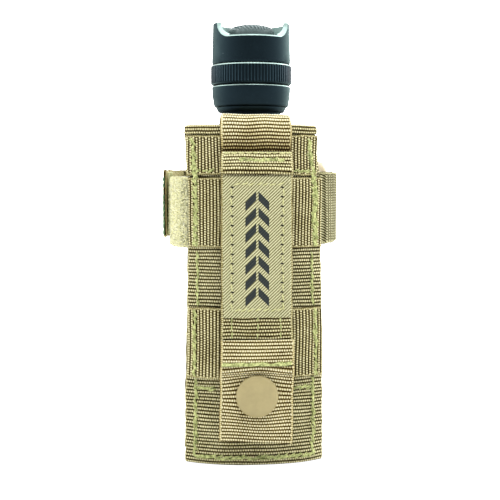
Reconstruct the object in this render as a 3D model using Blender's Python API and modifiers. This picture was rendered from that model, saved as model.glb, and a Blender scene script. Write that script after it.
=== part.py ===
"""Tactical flashlight, stowed bezel down in its webbing pouch.

Metres, +Z up. The origin is on the underside of the pouch, on the axis of the light. The face
of the pouch that carries the attachment strap looks along -Y. The light stands on the pouch's
base with its tail switch uppermost, and draws out along +Z.
"""

import math

import bmesh
import bpy
from mathutils import Vector

MM = 0.001
GAP = 0.3 * MM

# Pouch: two bowed panels of two-inch webbing, joined by gussets.
PANEL_HALF_WIDTH = 23 * MM
FLANGE_HALF_WIDTH = 24.2 * MM  # the panels reach past the gussets as a sewn flange
BULGE_HALF_WIDTH = 24.2 * MM
PANEL_REACH = 17.6 * MM  # axis of the light to the inner face of a panel, at mid width
PANEL_BULGE = 6.5 * MM
BULGE_POWER = 2.5
PANEL_THICKNESS = 1.5 * MM
PANEL_TOP = 119 * MM
BASE_THICKNESS = 1.5 * MM
GUSSET_THICKNESS = 1.2 * MM
GUSSET_TOP = 118 * MM
RIM_BAND = (119.3 * MM, 122.7 * MM)
PATH_STEPS = 14

# Webbing sewn on the strap side. Each strip is (bottom, top).
WEB_THICKNESS = 1.4 * MM
STRAP_HALF_WIDTH = 12.7 * MM
STRIP_UPPER = (104.6 * MM, 119 * MM)
STRIP_MIDDLE = (78.7 * MM, 104.1 * MM)
STRIP_LOWER = (31.8 * MM, 57.2 * MM)

# Attachment strap: layers by their distance from the axis, front of the panel outwards.
LAYER = 1.2 * MM
STRAP_BACK_Y = -21.1 * MM
STIFFENER_THICKNESS = 0.6 * MM
STRAP_TOP = 112.8 * MM
STRAP_HINGE_Z = 107 * MM
STRAP_BOTTOM = 37 * MM
LOOP_TOP = 126.4 * MM
LOOP_FOOT = 112 * MM
LABEL = (54.5 * MM, 104.5 * MM)
LABEL_HALF_WIDTH = 12 * MM
LABEL_THICKNESS = 0.4 * MM
TAB_TOP = 46.7 * MM
TAB_HINGE_Z = 37.6 * MM
TAB_BOTTOM = 11.2 * MM
TAB_THICKNESS = 1.3 * MM
TAB_PRESSED_Y = -24 * MM  # middle of the tab where the snap pulls it in

# Snap fasteners, 15 mm caps.
SNAP_Z = 26.6 * MM
CAP_RADIUS = 7.5 * MM
CAP_THICKNESS = 1.9 * MM
POST_RADIUS = 1.5 * MM
POST_HOLE = 1.8 * MM
SIDE_SNAP_Z = 102.4 * MM
SIDE_CAP_THICKNESS = 5 * MM

# Cinch band round the far side.
ELASTIC_THICKNESS = 1.3 * MM
ELASTIC_Z = (79.6 * MM, 106 * MM)
CINCH_TAB_Z = (81.6 * MM, 106.8 * MM)

# Light. Heights are above the ground while it is stowed.
LIGHT_BOTTOM = BASE_THICKNESS + 0.4 * MM
HEAD_RADIUS = 15.5 * MM
TUBE_RADIUS = 12.7 * MM
NECK_RADIUS = 11.05 * MM
BORE_RADIUS = 9.0 * MM
TAIL_THREAD_RADIUS = 10.6 * MM
HEAD_THREAD_RADIUS = 11.1 * MM
TUBE_BOTTOM = 43.2 * MM
TUBE_GRIP = (47 * MM, 117.5 * MM)
NECK_TOP = 127.3 * MM
TUBE_TOP = 134.5 * MM
CELL_RADIUS = 8.4 * MM
CELL_LENGTH = 34.2 * MM
CELL_NUB = 1.2 * MM
CELL_BOTTOM = 55.8 * MM
SKIRT_BOTTOM = 127.7 * MM
SKIRT_TOP = 137.4 * MM
RING_Z = (137.8 * MM, 144.9 * MM)
RING_RADIUS = 14.9 * MM
RING_TEETH = 40
WAIST_RADIUS = 12.9 * MM
CROWN_BOTTOM = 145.3 * MM
CROWN_TOP = 160.3 * MM
CROWN_RADII = (14.5 * MM, 14.08 * MM)  # at its foot and at its top
SCOOP_FLOOR = 154.9 * MM
SCOOP_HALF_WIDTH = 12.3 * MM
SCOOP_CORNER = 4 * MM
BOOT_RADIUS = 8.5 * MM
BOOT_TOP = 159.9 * MM
FOCUS_Z = 27.5 * MM  # apex of the reflector's parabola
FOCAL_LENGTH = 1.965 * MM

ROUND_STEPS = 32
SMALL_STEPS = 20

for old in list(bpy.data.objects):
    bpy.data.objects.remove(old)

parts = bpy.data.collections.new("tactical_flashlight")
cutters = bpy.data.collections.new("cutters")
for group in (parts, cutters):
    bpy.context.scene.collection.children.link(group)


def make_material(name, colour, roughness, metallic=0.0):
    material = bpy.data.materials.new(name)
    material.use_nodes = True
    shader = material.node_tree.nodes["Principled BSDF"]
    shader.inputs["Base Color"].default_value = (*colour, 1)
    shader.inputs["Roughness"].default_value = roughness
    shader.inputs["Metallic"].default_value = metallic
    return material


WEBBING = make_material("webbing", (0.46, 0.38, 0.2), 0.9)
PANEL_CLOTH = make_material("panel_cloth", (0.36, 0.29, 0.15), 0.95)
ELASTIC = make_material("elastic", (0.4, 0.35, 0.22), 0.9)
LOOP_PILE = make_material("loop_pile", (0.72, 0.68, 0.4), 1.0)
HOOK_TAPE = make_material("hook_tape", (0.12, 0.14, 0.07), 0.8)
LABEL_TWILL = make_material("label_twill", (0.55, 0.5, 0.34), 0.9)
SNAP_RESIN = make_material("snap_resin", (0.5, 0.42, 0.26), 0.45)
SNAP_BRASS = make_material("snap_brass", (0.4, 0.32, 0.18), 0.35, 1.0)
ANODISED = make_material("anodised", (0.02, 0.025, 0.025), 0.35, 0.7)
RUBBER = make_material("rubber", (0.03, 0.035, 0.035), 0.7)
STEEL = make_material("steel", (0.6, 0.6, 0.6), 0.25, 1.0)
BRASS = make_material("brass", (0.7, 0.5, 0.2), 0.3, 1.0)
MIRROR = make_material("mirror", (0.9, 0.9, 0.9), 0.05, 1.0)
GLASS = make_material("glass", (0.9, 0.95, 0.95), 0.02)
CIRCUIT = make_material("circuit", (0.05, 0.2, 0.1), 0.5)
EMITTER = make_material("emitter", (0.9, 0.8, 0.3), 0.3)
CELL_WRAP = make_material("cell_wrap", (0.5, 0.1, 0.05), 0.4)
STIFFENER = make_material("stiffener", (0.1, 0.1, 0.09), 0.6)
SWITCH_PLASTIC = make_material("switch_plastic", (0.08, 0.08, 0.09), 0.5)


def joint_empty(name, location):
    """An empty on a joint's axis, which the pieces that move about it are parented to."""
    empty = bpy.data.objects.new(name, None)
    empty.empty_display_size = 10 * MM
    empty.location = location
    parts.objects.link(empty)
    return empty


def add_object(name, data, material, location=(0, 0, 0), parent=None):
    obj = bpy.data.objects.new(name, data)
    obj.data.materials.append(material)
    obj.location = Vector(location)
    if parent:
        obj.parent = parent
        obj.location -= parent.location
    parts.objects.link(obj)
    return obj


def realise(obj):
    """Turns an object's modifiers or curve into a plain mesh with welded caps."""
    bpy.context.view_layer.update()
    evaluated = obj.evaluated_get(bpy.context.evaluated_depsgraph_get())
    mesh = bpy.data.meshes.new_from_object(evaluated)
    shape = bmesh.new()
    shape.from_mesh(mesh)
    bmesh.ops.remove_doubles(shape, verts=shape.verts, dist=0.001 * MM)
    shape.to_mesh(mesh)
    shape.free()
    name, matrix, parent = obj.name, obj.matrix_world.copy(), obj.parent
    bpy.data.objects.remove(obj)
    solid = bpy.data.objects.new(name, mesh)
    solid.parent = parent
    parts.objects.link(solid)
    solid.matrix_world = matrix
    mesh.shade_smooth()
    mesh.set_sharp_from_angle(angle=math.radians(35))
    return solid


def outline_mesh(name, outline, closed):
    """Edges through (radius, height) points in the XZ plane."""
    mesh = bpy.data.meshes.new(name)
    count = len(outline)
    edges = [(i, (i + 1) % count) for i in range(count if closed else count - 1)]
    mesh.from_pydata([(r, 0, z) for r, z in outline], edges, [])
    return mesh


def turned(name, outline, material, steps=ROUND_STEPS, parent=None):
    """A turned piece on the Z axis. The outline runs down its outer side, top to bottom.

    An outline whose ends lie on the axis makes a solid piece, and any other makes a ring.
    """
    solid = outline[0][0] == 0 and outline[-1][0] == 0
    obj = add_object(name, outline_mesh(name, outline, not solid), material, parent=parent)
    obj.location = (0, 0, 0) if parent is None else -parent.location
    screw = obj.modifiers.new("turn", "SCREW")
    screw.steps = screw.render_steps = steps
    screw.use_merge_vertices = True
    screw.merge_threshold = 0.00001
    return realise(obj)


def turned_along(name, outline, material, place, turn, steps=SMALL_STEPS, parent=None):
    """A turned piece whose axis is turned from +Z by the Euler angles turn."""
    obj = turned(name, outline, material, steps)
    obj.rotation_euler = turn
    obj.parent = parent
    obj.location = Vector(place) - (parent.location if parent else Vector())
    return obj


def block(name, low, high, material, parent=None, bevel=0.3 * MM):
    """A box between two corners, with eased edges."""
    shape = bmesh.new()
    bmesh.ops.create_cube(shape, size=1)
    size = Vector(high) - Vector(low)
    bmesh.ops.scale(shape, vec=size, verts=shape.verts)
    mesh = bpy.data.meshes.new(name)
    shape.to_mesh(mesh)
    shape.free()
    obj = add_object(name, mesh, material, (Vector(low) + Vector(high)) / 2, parent)
    if bevel:
        ease = obj.modifiers.new("ease", "BEVEL")
        ease.width = min(bevel, 0.45 * min(size))
        ease.segments = 1
    return obj


def thicken(obj, thickness, bevel=0.25 * MM):
    """Gives an open sheet its thickness, half to each side, and eases its edges."""
    solidify = obj.modifiers.new("thickness", "SOLIDIFY")
    solidify.thickness = thickness
    solidify.offset = 0
    solidify.use_even_offset = True
    if bevel:
        ease = obj.modifiers.new("ease", "BEVEL")
        ease.width = bevel
        ease.segments = 1
        ease.limit_method = "ANGLE"
        ease.angle_limit = math.radians(60)
    return obj


def ribbon(name, near, far, thickness, material, parent=None, bevel=0.25 * MM):
    """A sheet between two rows of points, which run side by side."""
    offset = parent.location if parent else Vector()
    count = len(near)
    points = [Vector(p) - offset for p in (*near, *far)]
    faces = [(i, i + 1, count + i + 1, count + i) for i in range(count - 1)]
    mesh = bpy.data.meshes.new(name)
    mesh.from_pydata(points, [], faces)
    obj = add_object(name, mesh, material)
    obj.parent = parent
    return thicken(obj, thickness, bevel)


def wall(name, path, span, thickness, material, parent=None, bevel=0.25 * MM):
    """A sheet that stands on edge along a path in plan, from span's bottom to its top."""
    rows = [[(x, y, z) for x, y in path] for z in span]
    return ribbon(name, rows[0], rows[1], thickness, material, parent, bevel)


def apron(name, profile, half_width, thickness, material, parent=None):
    """A sheet that is level across X and follows a profile of (y, z) points."""
    rows = [[(side * half_width, y, z) for y, z in profile] for side in (-1, 1)]
    return ribbon(name, rows[0], rows[1], thickness, material, parent)


def smooth_path(points, steps):
    """Points on a Catmull-Rom curve through the given ones, steps to each stretch."""
    points = [Vector(p) for p in points]
    ends = [2 * points[0] - points[1], *points, 2 * points[-1] - points[-2]]
    curve = []
    for a, b, c, d in zip(ends, ends[1:], ends[2:], ends[3:]):
        for i in range(steps):
            t = i / steps
            curve.append(
                0.5
                * (
                    2 * b
                    + (c - a) * t
                    + (2 * a - 5 * b + 4 * c - d) * t**2
                    + (3 * b - a - 3 * c + d) * t**3
                )
            )
    return [*curve, points[-1]]


def panel_path(offset, side, half_width=PANEL_HALF_WIDTH, steps=PATH_STEPS):
    """Plan of a bowed panel, offset outwards from its inner face. side is -1 near, 1 far."""
    path = []
    for i in range(steps + 1):
        x = half_width * (2 * i / steps - 1)
        share = abs(x) / BULGE_HALF_WIDTH
        y = PANEL_REACH - PANEL_BULGE * share**BULGE_POWER
        fall = PANEL_BULGE * BULGE_POWER * share ** (BULGE_POWER - 1) / BULGE_HALF_WIDTH
        normal = Vector((math.copysign(fall, x), 1)).normalized()
        path.append((x + offset * normal.x, side * (y + offset * normal.y)))
    return path


def cutter_rod(name, radius, start, end, steps=SMALL_STEPS):
    """A round cutter between two points."""
    start, end = Vector(start), Vector(end)
    shape = bmesh.new()
    bmesh.ops.create_cone(
        shape,
        cap_ends=True,
        segments=steps,
        radius1=radius,
        radius2=radius,
        depth=(end - start).length,
    )
    mesh = bpy.data.meshes.new(name)
    shape.to_mesh(mesh)
    shape.free()
    return place_cutter(name, mesh, (start + end) / 2, (end - start).to_track_quat("Z", "Y"))


def place_cutter(name, mesh, location, rotation=None):
    obj = bpy.data.objects.new(name, mesh)
    obj.location = location
    if rotation:
        obj.rotation_euler = rotation.to_euler()
    obj.hide_render = True
    obj.display_type = "WIRE"
    cutters.objects.link(obj)
    return obj


def cut(obj, cutter):
    boolean = obj.modifiers.new("cut", "BOOLEAN")
    boolean.operation = "DIFFERENCE"
    boolean.object = cutter


def arc(centre, radius, start, end, steps):
    """Points on an arc about (x, z), angles in degrees."""
    angles = [math.radians(start + (end - start) * i / steps) for i in range(steps + 1)]
    return [(centre[0] + radius * math.cos(a), centre[1] + radius * math.sin(a)) for a in angles]


# ---------------------------------------------------------------- pouch


def make_shell():
    """Panels, gussets and base of the pouch."""
    middle = PANEL_THICKNESS / 2
    sides = {}
    for name, side in (("near_panel", -1), ("far_panel", 1)):
        path = panel_path(middle, side, FLANGE_HALF_WIDTH)
        sides[name] = wall(
            name, path, (0, PANEL_TOP), PANEL_THICKNESS, PANEL_CLOTH, bevel=0
        )
    post_hole = cutter_rod(
        "stud_hole", POST_HOLE, (0, -PANEL_REACH + MM, SNAP_Z), (0, -PANEL_REACH - 3 * MM, SNAP_Z)
    )
    cut(sides["near_panel"], post_hole)

    corner = panel_path(0, 1)[0][1] - GAP
    inset = PANEL_HALF_WIDTH - 0.9 * MM
    for name, side in (("left_gusset", -1), ("right_gusset", 1)):
        path = [(side * inset, -corner), (side * inset, corner)]
        gusset = wall(name, path, (0, GUSSET_TOP), GUSSET_THICKNESS, PANEL_CLOTH, bevel=0)
        if side > 0:
            start = (inset - 2 * MM, 0, SIDE_SNAP_Z)
            end = (inset + 2 * MM, 0, SIDE_SNAP_Z)
            cut(gusset, cutter_rod("side_snap_hole", POST_HOLE, start, end))

    inner = inset - GUSSET_THICKNESS / 2 - GAP
    near_edge = panel_path(-GAP, -1, inner)
    far_edge = panel_path(-GAP, 1, inner)
    outline = [*near_edge, *reversed(far_edge)]
    shape = bmesh.new()
    floor = shape.faces.new([shape.verts.new((x, y, 0)) for x, y in outline])
    lifted = bmesh.ops.extrude_face_region(shape, geom=[floor])["geom"]
    top = [v for v in lifted if isinstance(v, bmesh.types.BMVert)]
    bmesh.ops.translate(shape, vec=(0, 0, BASE_THICKNESS), verts=top)
    bmesh.ops.recalc_face_normals(shape, faces=shape.faces)
    mesh = bpy.data.meshes.new("base_panel")
    shape.to_mesh(mesh)
    shape.free()
    add_object("base_panel", mesh, PANEL_CLOTH)


def make_face_webbing():
    """Strips sewn across the strap side, and the bands that bind the two rims."""
    outer = PANEL_THICKNESS + GAP + WEB_THICKNESS / 2
    strips = {
        "upper_strip": STRIP_UPPER,
        "middle_strip": STRIP_MIDDLE,
        "lower_strip": STRIP_LOWER,
    }
    for name, span in strips.items():
        wall(name, panel_path(outer, -1), span, WEB_THICKNESS, WEBBING)
    rim_depth = PANEL_THICKNESS + GAP + WEB_THICKNESS
    for name, side in (("near_rim_band", -1), ("far_rim_band", 1)):
        # The inner leg of the top loop passes behind the near band.
        wall(name, panel_path(rim_depth / 2, side), RIM_BAND, rim_depth, WEBBING)


def make_top_loop():
    """Loop of webbing over the near rim, at the head of the attachment strap."""
    outer = PANEL_THICKNESS + 2 * GAP + WEB_THICKNESS + GAP + LAYER / 2
    inner = -GAP - LAYER / 2
    middle = (outer + inner) / 2
    radius = (outer - inner) / 2
    crest = LOOP_TOP - LAYER / 2 - radius
    profile = [
        (outer, STRAP_HINGE_Z + GAP),
        *arc((middle, crest), radius, 0, 180, 8),
        (inner, LOOP_FOOT),
    ]
    across = 6
    rows = [panel_path(offset, -1, STRAP_HALF_WIDTH, across) for offset, _ in profile]
    points = [(x, y, z) for row, (_, z) in zip(rows, profile) for x, y in row]
    span = across + 1
    corners = [r * span + c for r in range(len(profile) - 1) for c in range(across)]
    mesh = bpy.data.meshes.new("top_loop")
    mesh.from_pydata(points, [], [(i, i + 1, i + span + 1, i + span) for i in corners])
    thicken(add_object("top_loop", mesh, WEBBING), LAYER)


def make_strap():
    """Attachment strap: two layers of webbing over a stiffener, hung from its top seam."""
    stiffener_y = STRAP_BACK_Y - LAYER - GAP
    front_y = stiffener_y - STIFFENER_THICKNESS - GAP
    face_y = front_y - LAYER
    hinge = joint_empty("strap_axis", (0, face_y, STRAP_HINGE_Z))
    half = STRAP_HALF_WIDTH
    top = STRAP_HINGE_Z - GAP

    def layer(name, y, thickness, span, material, half_width=half, parent=hinge):
        low = (-half_width, y - thickness, span[0])
        high = (half_width, y, span[1])
        return block(name, low, high, material, parent)

    anchor = (STRAP_HINGE_Z + GAP, STRAP_TOP)
    anchor_y = STRAP_BACK_Y - LAYER - GAP
    layer("strap_anchor", anchor_y, anchor_y - face_y, anchor, WEBBING, parent=None)
    layer("strap_back", STRAP_BACK_Y, LAYER, (STRAP_BOTTOM, top), WEBBING)
    stiffened = (STRAP_BOTTOM + 2 * MM, top - 2 * MM)
    width = half - 2 * MM
    layer("strap_stiffener", stiffener_y, STIFFENER_THICKNESS, stiffened, STIFFENER, width)
    layer("strap_front", front_y, LAYER, (STRAP_BOTTOM, top), WEBBING)
    label_y = face_y - GAP
    layer("label_patch", label_y, LABEL_THICKNESS, LABEL, LABEL_TWILL, LABEL_HALF_WIDTH)
    root = (TAB_HINGE_Z + GAP, TAB_TOP)
    layer("snap_tab_root", label_y, TAB_THICKNESS, root, WEBBING)
    make_snap_tab(hinge, label_y)


def make_snap_tab(strap, root_y):
    """Free end of the strap, pulled in by its snap, and the snap's two halves."""
    face_y = root_y - TAB_THICKNESS
    hinge = joint_empty("tab_axis", (0, face_y, TAB_HINGE_Z))
    hinge.parent = strap
    hinge.location -= strap.location
    start_y = root_y - TAB_THICKNESS / 2
    flat_top = SNAP_Z + CAP_RADIUS + 0.2 * MM
    flat_bottom = SNAP_Z - CAP_RADIUS - 0.2 * MM
    knee = TAB_HINGE_Z - 1.2 * MM
    profile = [
        (start_y, TAB_HINGE_Z - GAP),
        (start_y + 0.2 * MM, knee),
        (TAB_PRESSED_Y, flat_top),
        (TAB_PRESSED_Y, flat_bottom),
        (TAB_PRESSED_Y - 0.3 * MM, (flat_bottom + TAB_BOTTOM) / 2),
        (TAB_PRESSED_Y - 0.9 * MM, TAB_BOTTOM),
    ]
    tab = apron("snap_tab", profile, STRAP_HALF_WIDTH, TAB_THICKNESS, WEBBING)
    hole = cutter_rod(
        "cap_hole",
        POST_HOLE,
        (0, TAB_PRESSED_Y + 2 * MM, SNAP_Z),
        (0, TAB_PRESSED_Y - 2 * MM, SNAP_Z),
    )
    cut(tab, hole)
    tab_axis = Vector((0, face_y, TAB_HINGE_Z))
    hang(tab, hinge, tab_axis)

    front = TAB_PRESSED_Y - TAB_THICKNESS / 2 - GAP
    back = TAB_PRESSED_Y + TAB_THICKNESS / 2 + GAP
    cap = snap_cap("snap_cap", (0, front, SNAP_Z), (math.pi / 2, 0, 0), TAB_THICKNESS + 2 * GAP)
    socket = snap_socket("snap_socket", (0, back, SNAP_Z), (-math.pi / 2, 0, 0))
    for piece in (cap, socket):
        hang(piece, hinge, tab_axis)

    outside = -PANEL_REACH - PANEL_THICKNESS - GAP
    snap_stud("snap_stud", (0, outside, SNAP_Z), (math.pi / 2, 0, 0))
    inside = -PANEL_REACH + GAP
    snap_post("snap_post", (0, inside, SNAP_Z), (math.pi / 2, 0, 0), PANEL_THICKNESS)


def hang(obj, empty, axis_place):
    """Parents a piece to a joint's empty without moving it."""
    obj.parent = empty
    obj.location -= axis_place


def snap_cap(name, place, turn, through, thickness=CAP_THICKNESS):
    """Domed cap with a post. Its underside is at place, and the post runs the other way."""
    dome = [(0, thickness), (CAP_RADIUS * 0.6, thickness * 0.93)]
    edge = [
        (CAP_RADIUS * 0.93, thickness * 0.7),
        (CAP_RADIUS, thickness * 0.45),
        (CAP_RADIUS * 0.97, 0),
    ]
    post = [(POST_RADIUS, 0), (POST_RADIUS, -through), (0, -through)]
    return turned_along(name, [*dome, *edge, *post], SNAP_RESIN, place, turn)


def snap_socket(name, place, turn):
    """Cup with a hole for the cap's post, open towards the stud."""
    radius = 5 * MM
    floor = 0.6 * MM
    depth = 2.3 * MM
    mouth = 3.8 * MM
    outline = [
        (radius * 0.9, depth),
        (radius, depth * 0.6),
        (radius, 0),
        (POST_HOLE, 0),
        (POST_HOLE, floor),
        (mouth, floor),
        (mouth, depth),
    ]
    return turned_along(name, outline, SNAP_BRASS, place, turn)


def snap_stud(name, place, turn):
    """Stud with a flange on the panel and a bored stem."""
    flange = 4.8 * MM
    stem = 2.5 * MM
    bead = 2.7 * MM
    height = 2.5 * MM
    outline = [
        (stem, height),
        (bead, height - 0.5 * MM),
        (stem, height - MM),
        (stem, 0.7 * MM),
        (flange, 0.6 * MM),
        (flange, 0),
        (POST_HOLE, 0),
        (POST_HOLE, height),
    ]
    return turned_along(name, outline, SNAP_BRASS, place, turn)


def snap_post(name, place, turn, wall_thickness):
    """Flat-headed rivet that holds a stud or a cap from inside the pouch."""
    head = 4.5 * MM
    head_thickness = 0.6 * MM
    length = wall_thickness + 2 * GAP + 0.9 * MM
    outline = [
        (0, length),
        (POST_RADIUS, length),
        (POST_RADIUS, 0),
        (head, 0),
        (head, -head_thickness),
        (0, -head_thickness),
    ]
    return turned_along(name, outline, SNAP_BRASS, place, turn)


def make_side_snap():
    """Snap cap on the right gusset, under the cinch band, with its washer inside."""
    outer = PANEL_HALF_WIDTH - 0.9 * MM + GUSSET_THICKNESS / 2
    inner = outer - GUSSET_THICKNESS - GAP
    right = (0, math.pi / 2, 0)
    through = GUSSET_THICKNESS + 2 * GAP + 0.3 * MM
    place = (outer + GAP, 0, SIDE_SNAP_Z)
    snap_cap("side_snap_cap", place, right, through, SIDE_CAP_THICKNESS)
    thick = 0.8 * MM
    ring = [(5 * MM, thick), (5 * MM, 0), (POST_HOLE, 0), (POST_HOLE, thick)]
    place = (inner - thick, 0, SIDE_SNAP_Z)
    turned_along("side_snap_washer", ring, SNAP_BRASS, place, right)


# ---------------------------------------------------------------- cinch band


def make_cinch():
    """Elastic from the right edge round the far side, and its hook tab at the left."""
    elastic_points = [
        (25.6, -11.6),
        (28.8, -4.5),
        (31.6, 4.0),
        (32.4, 10.3),
        (29.6, 14.6),
        (20.0, 17.2),
        (10.0, 19.6),
        (0.0, 20.15),
        (-10.0, 19.7),
        (-18.0, 18.0),
        (-24.6, 16.6),
    ]
    tab_points = [(-25.2, 16.5), (-28.4, 15.9), (-30.8, 13.4), (-31.6, 9.0), (-31.6, 3.0)]
    hook_points = [(-29.3, 11.0), (-30.0, 8.5), (-30.1, 3.4)]
    pile_points = [(-25.6, -11.6), (-27.2, -5.0), (-28.4, 1.0), (-28.6, 6.0), (-28.0, 10.2)]

    def in_plan(points, steps):
        return [(p.x * MM, p.y * MM) for p in smooth_path(points, steps)]

    elastic = in_plan(elastic_points, 3)
    wall("elastic_band", elastic, ELASTIC_Z, ELASTIC_THICKNESS, ELASTIC)
    wall("loop_tape", in_plan(pile_points, 3), STRIP_MIDDLE, 1.4 * MM, LOOP_PILE)
    # The tab opens away from the pouch, so it turns about its outer face.
    seam = Vector(((-24.9) * MM, 17.25 * MM, sum(CINCH_TAB_Z) / 2))
    hinge = joint_empty("cinch_axis", seam)
    wall("cinch_tab", in_plan(tab_points, 4), CINCH_TAB_Z, ELASTIC_THICKNESS, WEBBING, hinge)
    hook_span = (CINCH_TAB_Z[0] + MM, CINCH_TAB_Z[1] - MM)
    wall("hook_tape", in_plan(hook_points, 3), hook_span, 1.1 * MM, HOOK_TAPE, hinge)


# ---------------------------------------------------------------- light: head and body


def make_tube():
    """Battery tube: bored through, threaded at both ends, each with an O-ring groove."""
    groove = 1.1 * MM
    head_groove = (45.2 * MM, 46.7 * MM)
    tail_groove = (128.4 * MM, 129.9 * MM)
    chamfer = 0.6 * MM
    outline = [
        (TAIL_THREAD_RADIUS, TUBE_TOP),
        (TAIL_THREAD_RADIUS, tail_groove[1]),
        (TAIL_THREAD_RADIUS - groove + 0.3 * MM, tail_groove[1]),
        (TAIL_THREAD_RADIUS - groove + 0.3 * MM, tail_groove[0]),
        (TAIL_THREAD_RADIUS, tail_groove[0]),
        (TAIL_THREAD_RADIUS, NECK_TOP),
        (NECK_RADIUS, NECK_TOP),
        (NECK_RADIUS, TUBE_GRIP[1] + chamfer),
        (TUBE_RADIUS - chamfer, TUBE_GRIP[1]),
        (TUBE_RADIUS, TUBE_GRIP[1] - chamfer),
        (TUBE_RADIUS, TUBE_GRIP[0]),
        (HEAD_THREAD_RADIUS, TUBE_GRIP[0]),
        (HEAD_THREAD_RADIUS, head_groove[1]),
        (HEAD_THREAD_RADIUS - groove, head_groove[1]),
        (HEAD_THREAD_RADIUS - groove, head_groove[0]),
        (HEAD_THREAD_RADIUS, head_groove[0]),
        (HEAD_THREAD_RADIUS, TUBE_BOTTOM),
        (BORE_RADIUS, TUBE_BOTTOM),
        (BORE_RADIUS, TUBE_TOP),
    ]
    turned("body_tube", outline, ANODISED)
    o_ring("head_o_ring", HEAD_THREAD_RADIUS - 0.4 * MM, 0.6 * MM, sum(head_groove) / 2)
    o_ring("tail_o_ring", TAIL_THREAD_RADIUS - 0.25 * MM, 0.45 * MM, sum(tail_groove) / 2)


def o_ring(name, major, minor, z):
    section = arc((major, z), minor, 90, -270, 6)[:-1]
    turned(name, section, RUBBER, SMALL_STEPS)


def make_cells():
    """Two lithium cells in line, nubs towards the head."""
    pitch = CELL_LENGTH + CELL_NUB + GAP
    ease = 0.7 * MM
    nub = 3.2 * MM
    for name, z in (("front_cell", CELL_BOTTOM), ("rear_cell", CELL_BOTTOM + pitch)):
        foot = z + CELL_NUB
        outline = [
            (0, foot + CELL_LENGTH),
            (CELL_RADIUS - ease, foot + CELL_LENGTH),
            (CELL_RADIUS, foot + CELL_LENGTH - ease),
            (CELL_RADIUS, foot + ease),
            (CELL_RADIUS - ease, foot),
            (nub, foot),
            (nub, z),
            (0, z),
        ]
        turned(name, outline, CELL_WRAP, SMALL_STEPS)


def coil(name, radius, bottom, top, turns, wire, parent=None):
    """A round wire spring with flat end turns."""
    per_turn = 8
    count = int(turns * per_turn)
    curve = bpy.data.curves.new(name, "CURVE")
    curve.dimensions = "3D"
    curve.bevel_depth = wire
    curve.bevel_resolution = 0
    curve.use_fill_caps = True
    spline = curve.splines.new("POLY")
    spline.points.add(count)
    for i, point in enumerate(spline.points):
        angle = 2 * math.pi * i / per_turn
        share = min(max((i - per_turn) / (count - 2 * per_turn), 0), 1)
        closing = wire * 2.3 * (min(i, per_turn) / per_turn + max(i - count + per_turn, 0) / per_turn)
        z = bottom + wire + closing + (top - bottom - 2 * wire - 4.6 * wire) * share
        point.co = (radius * math.cos(angle), radius * math.sin(angle), z, 1)
    obj = add_object(name, curve, STEEL)
    obj.parent = parent
    return realise(obj)


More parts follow.
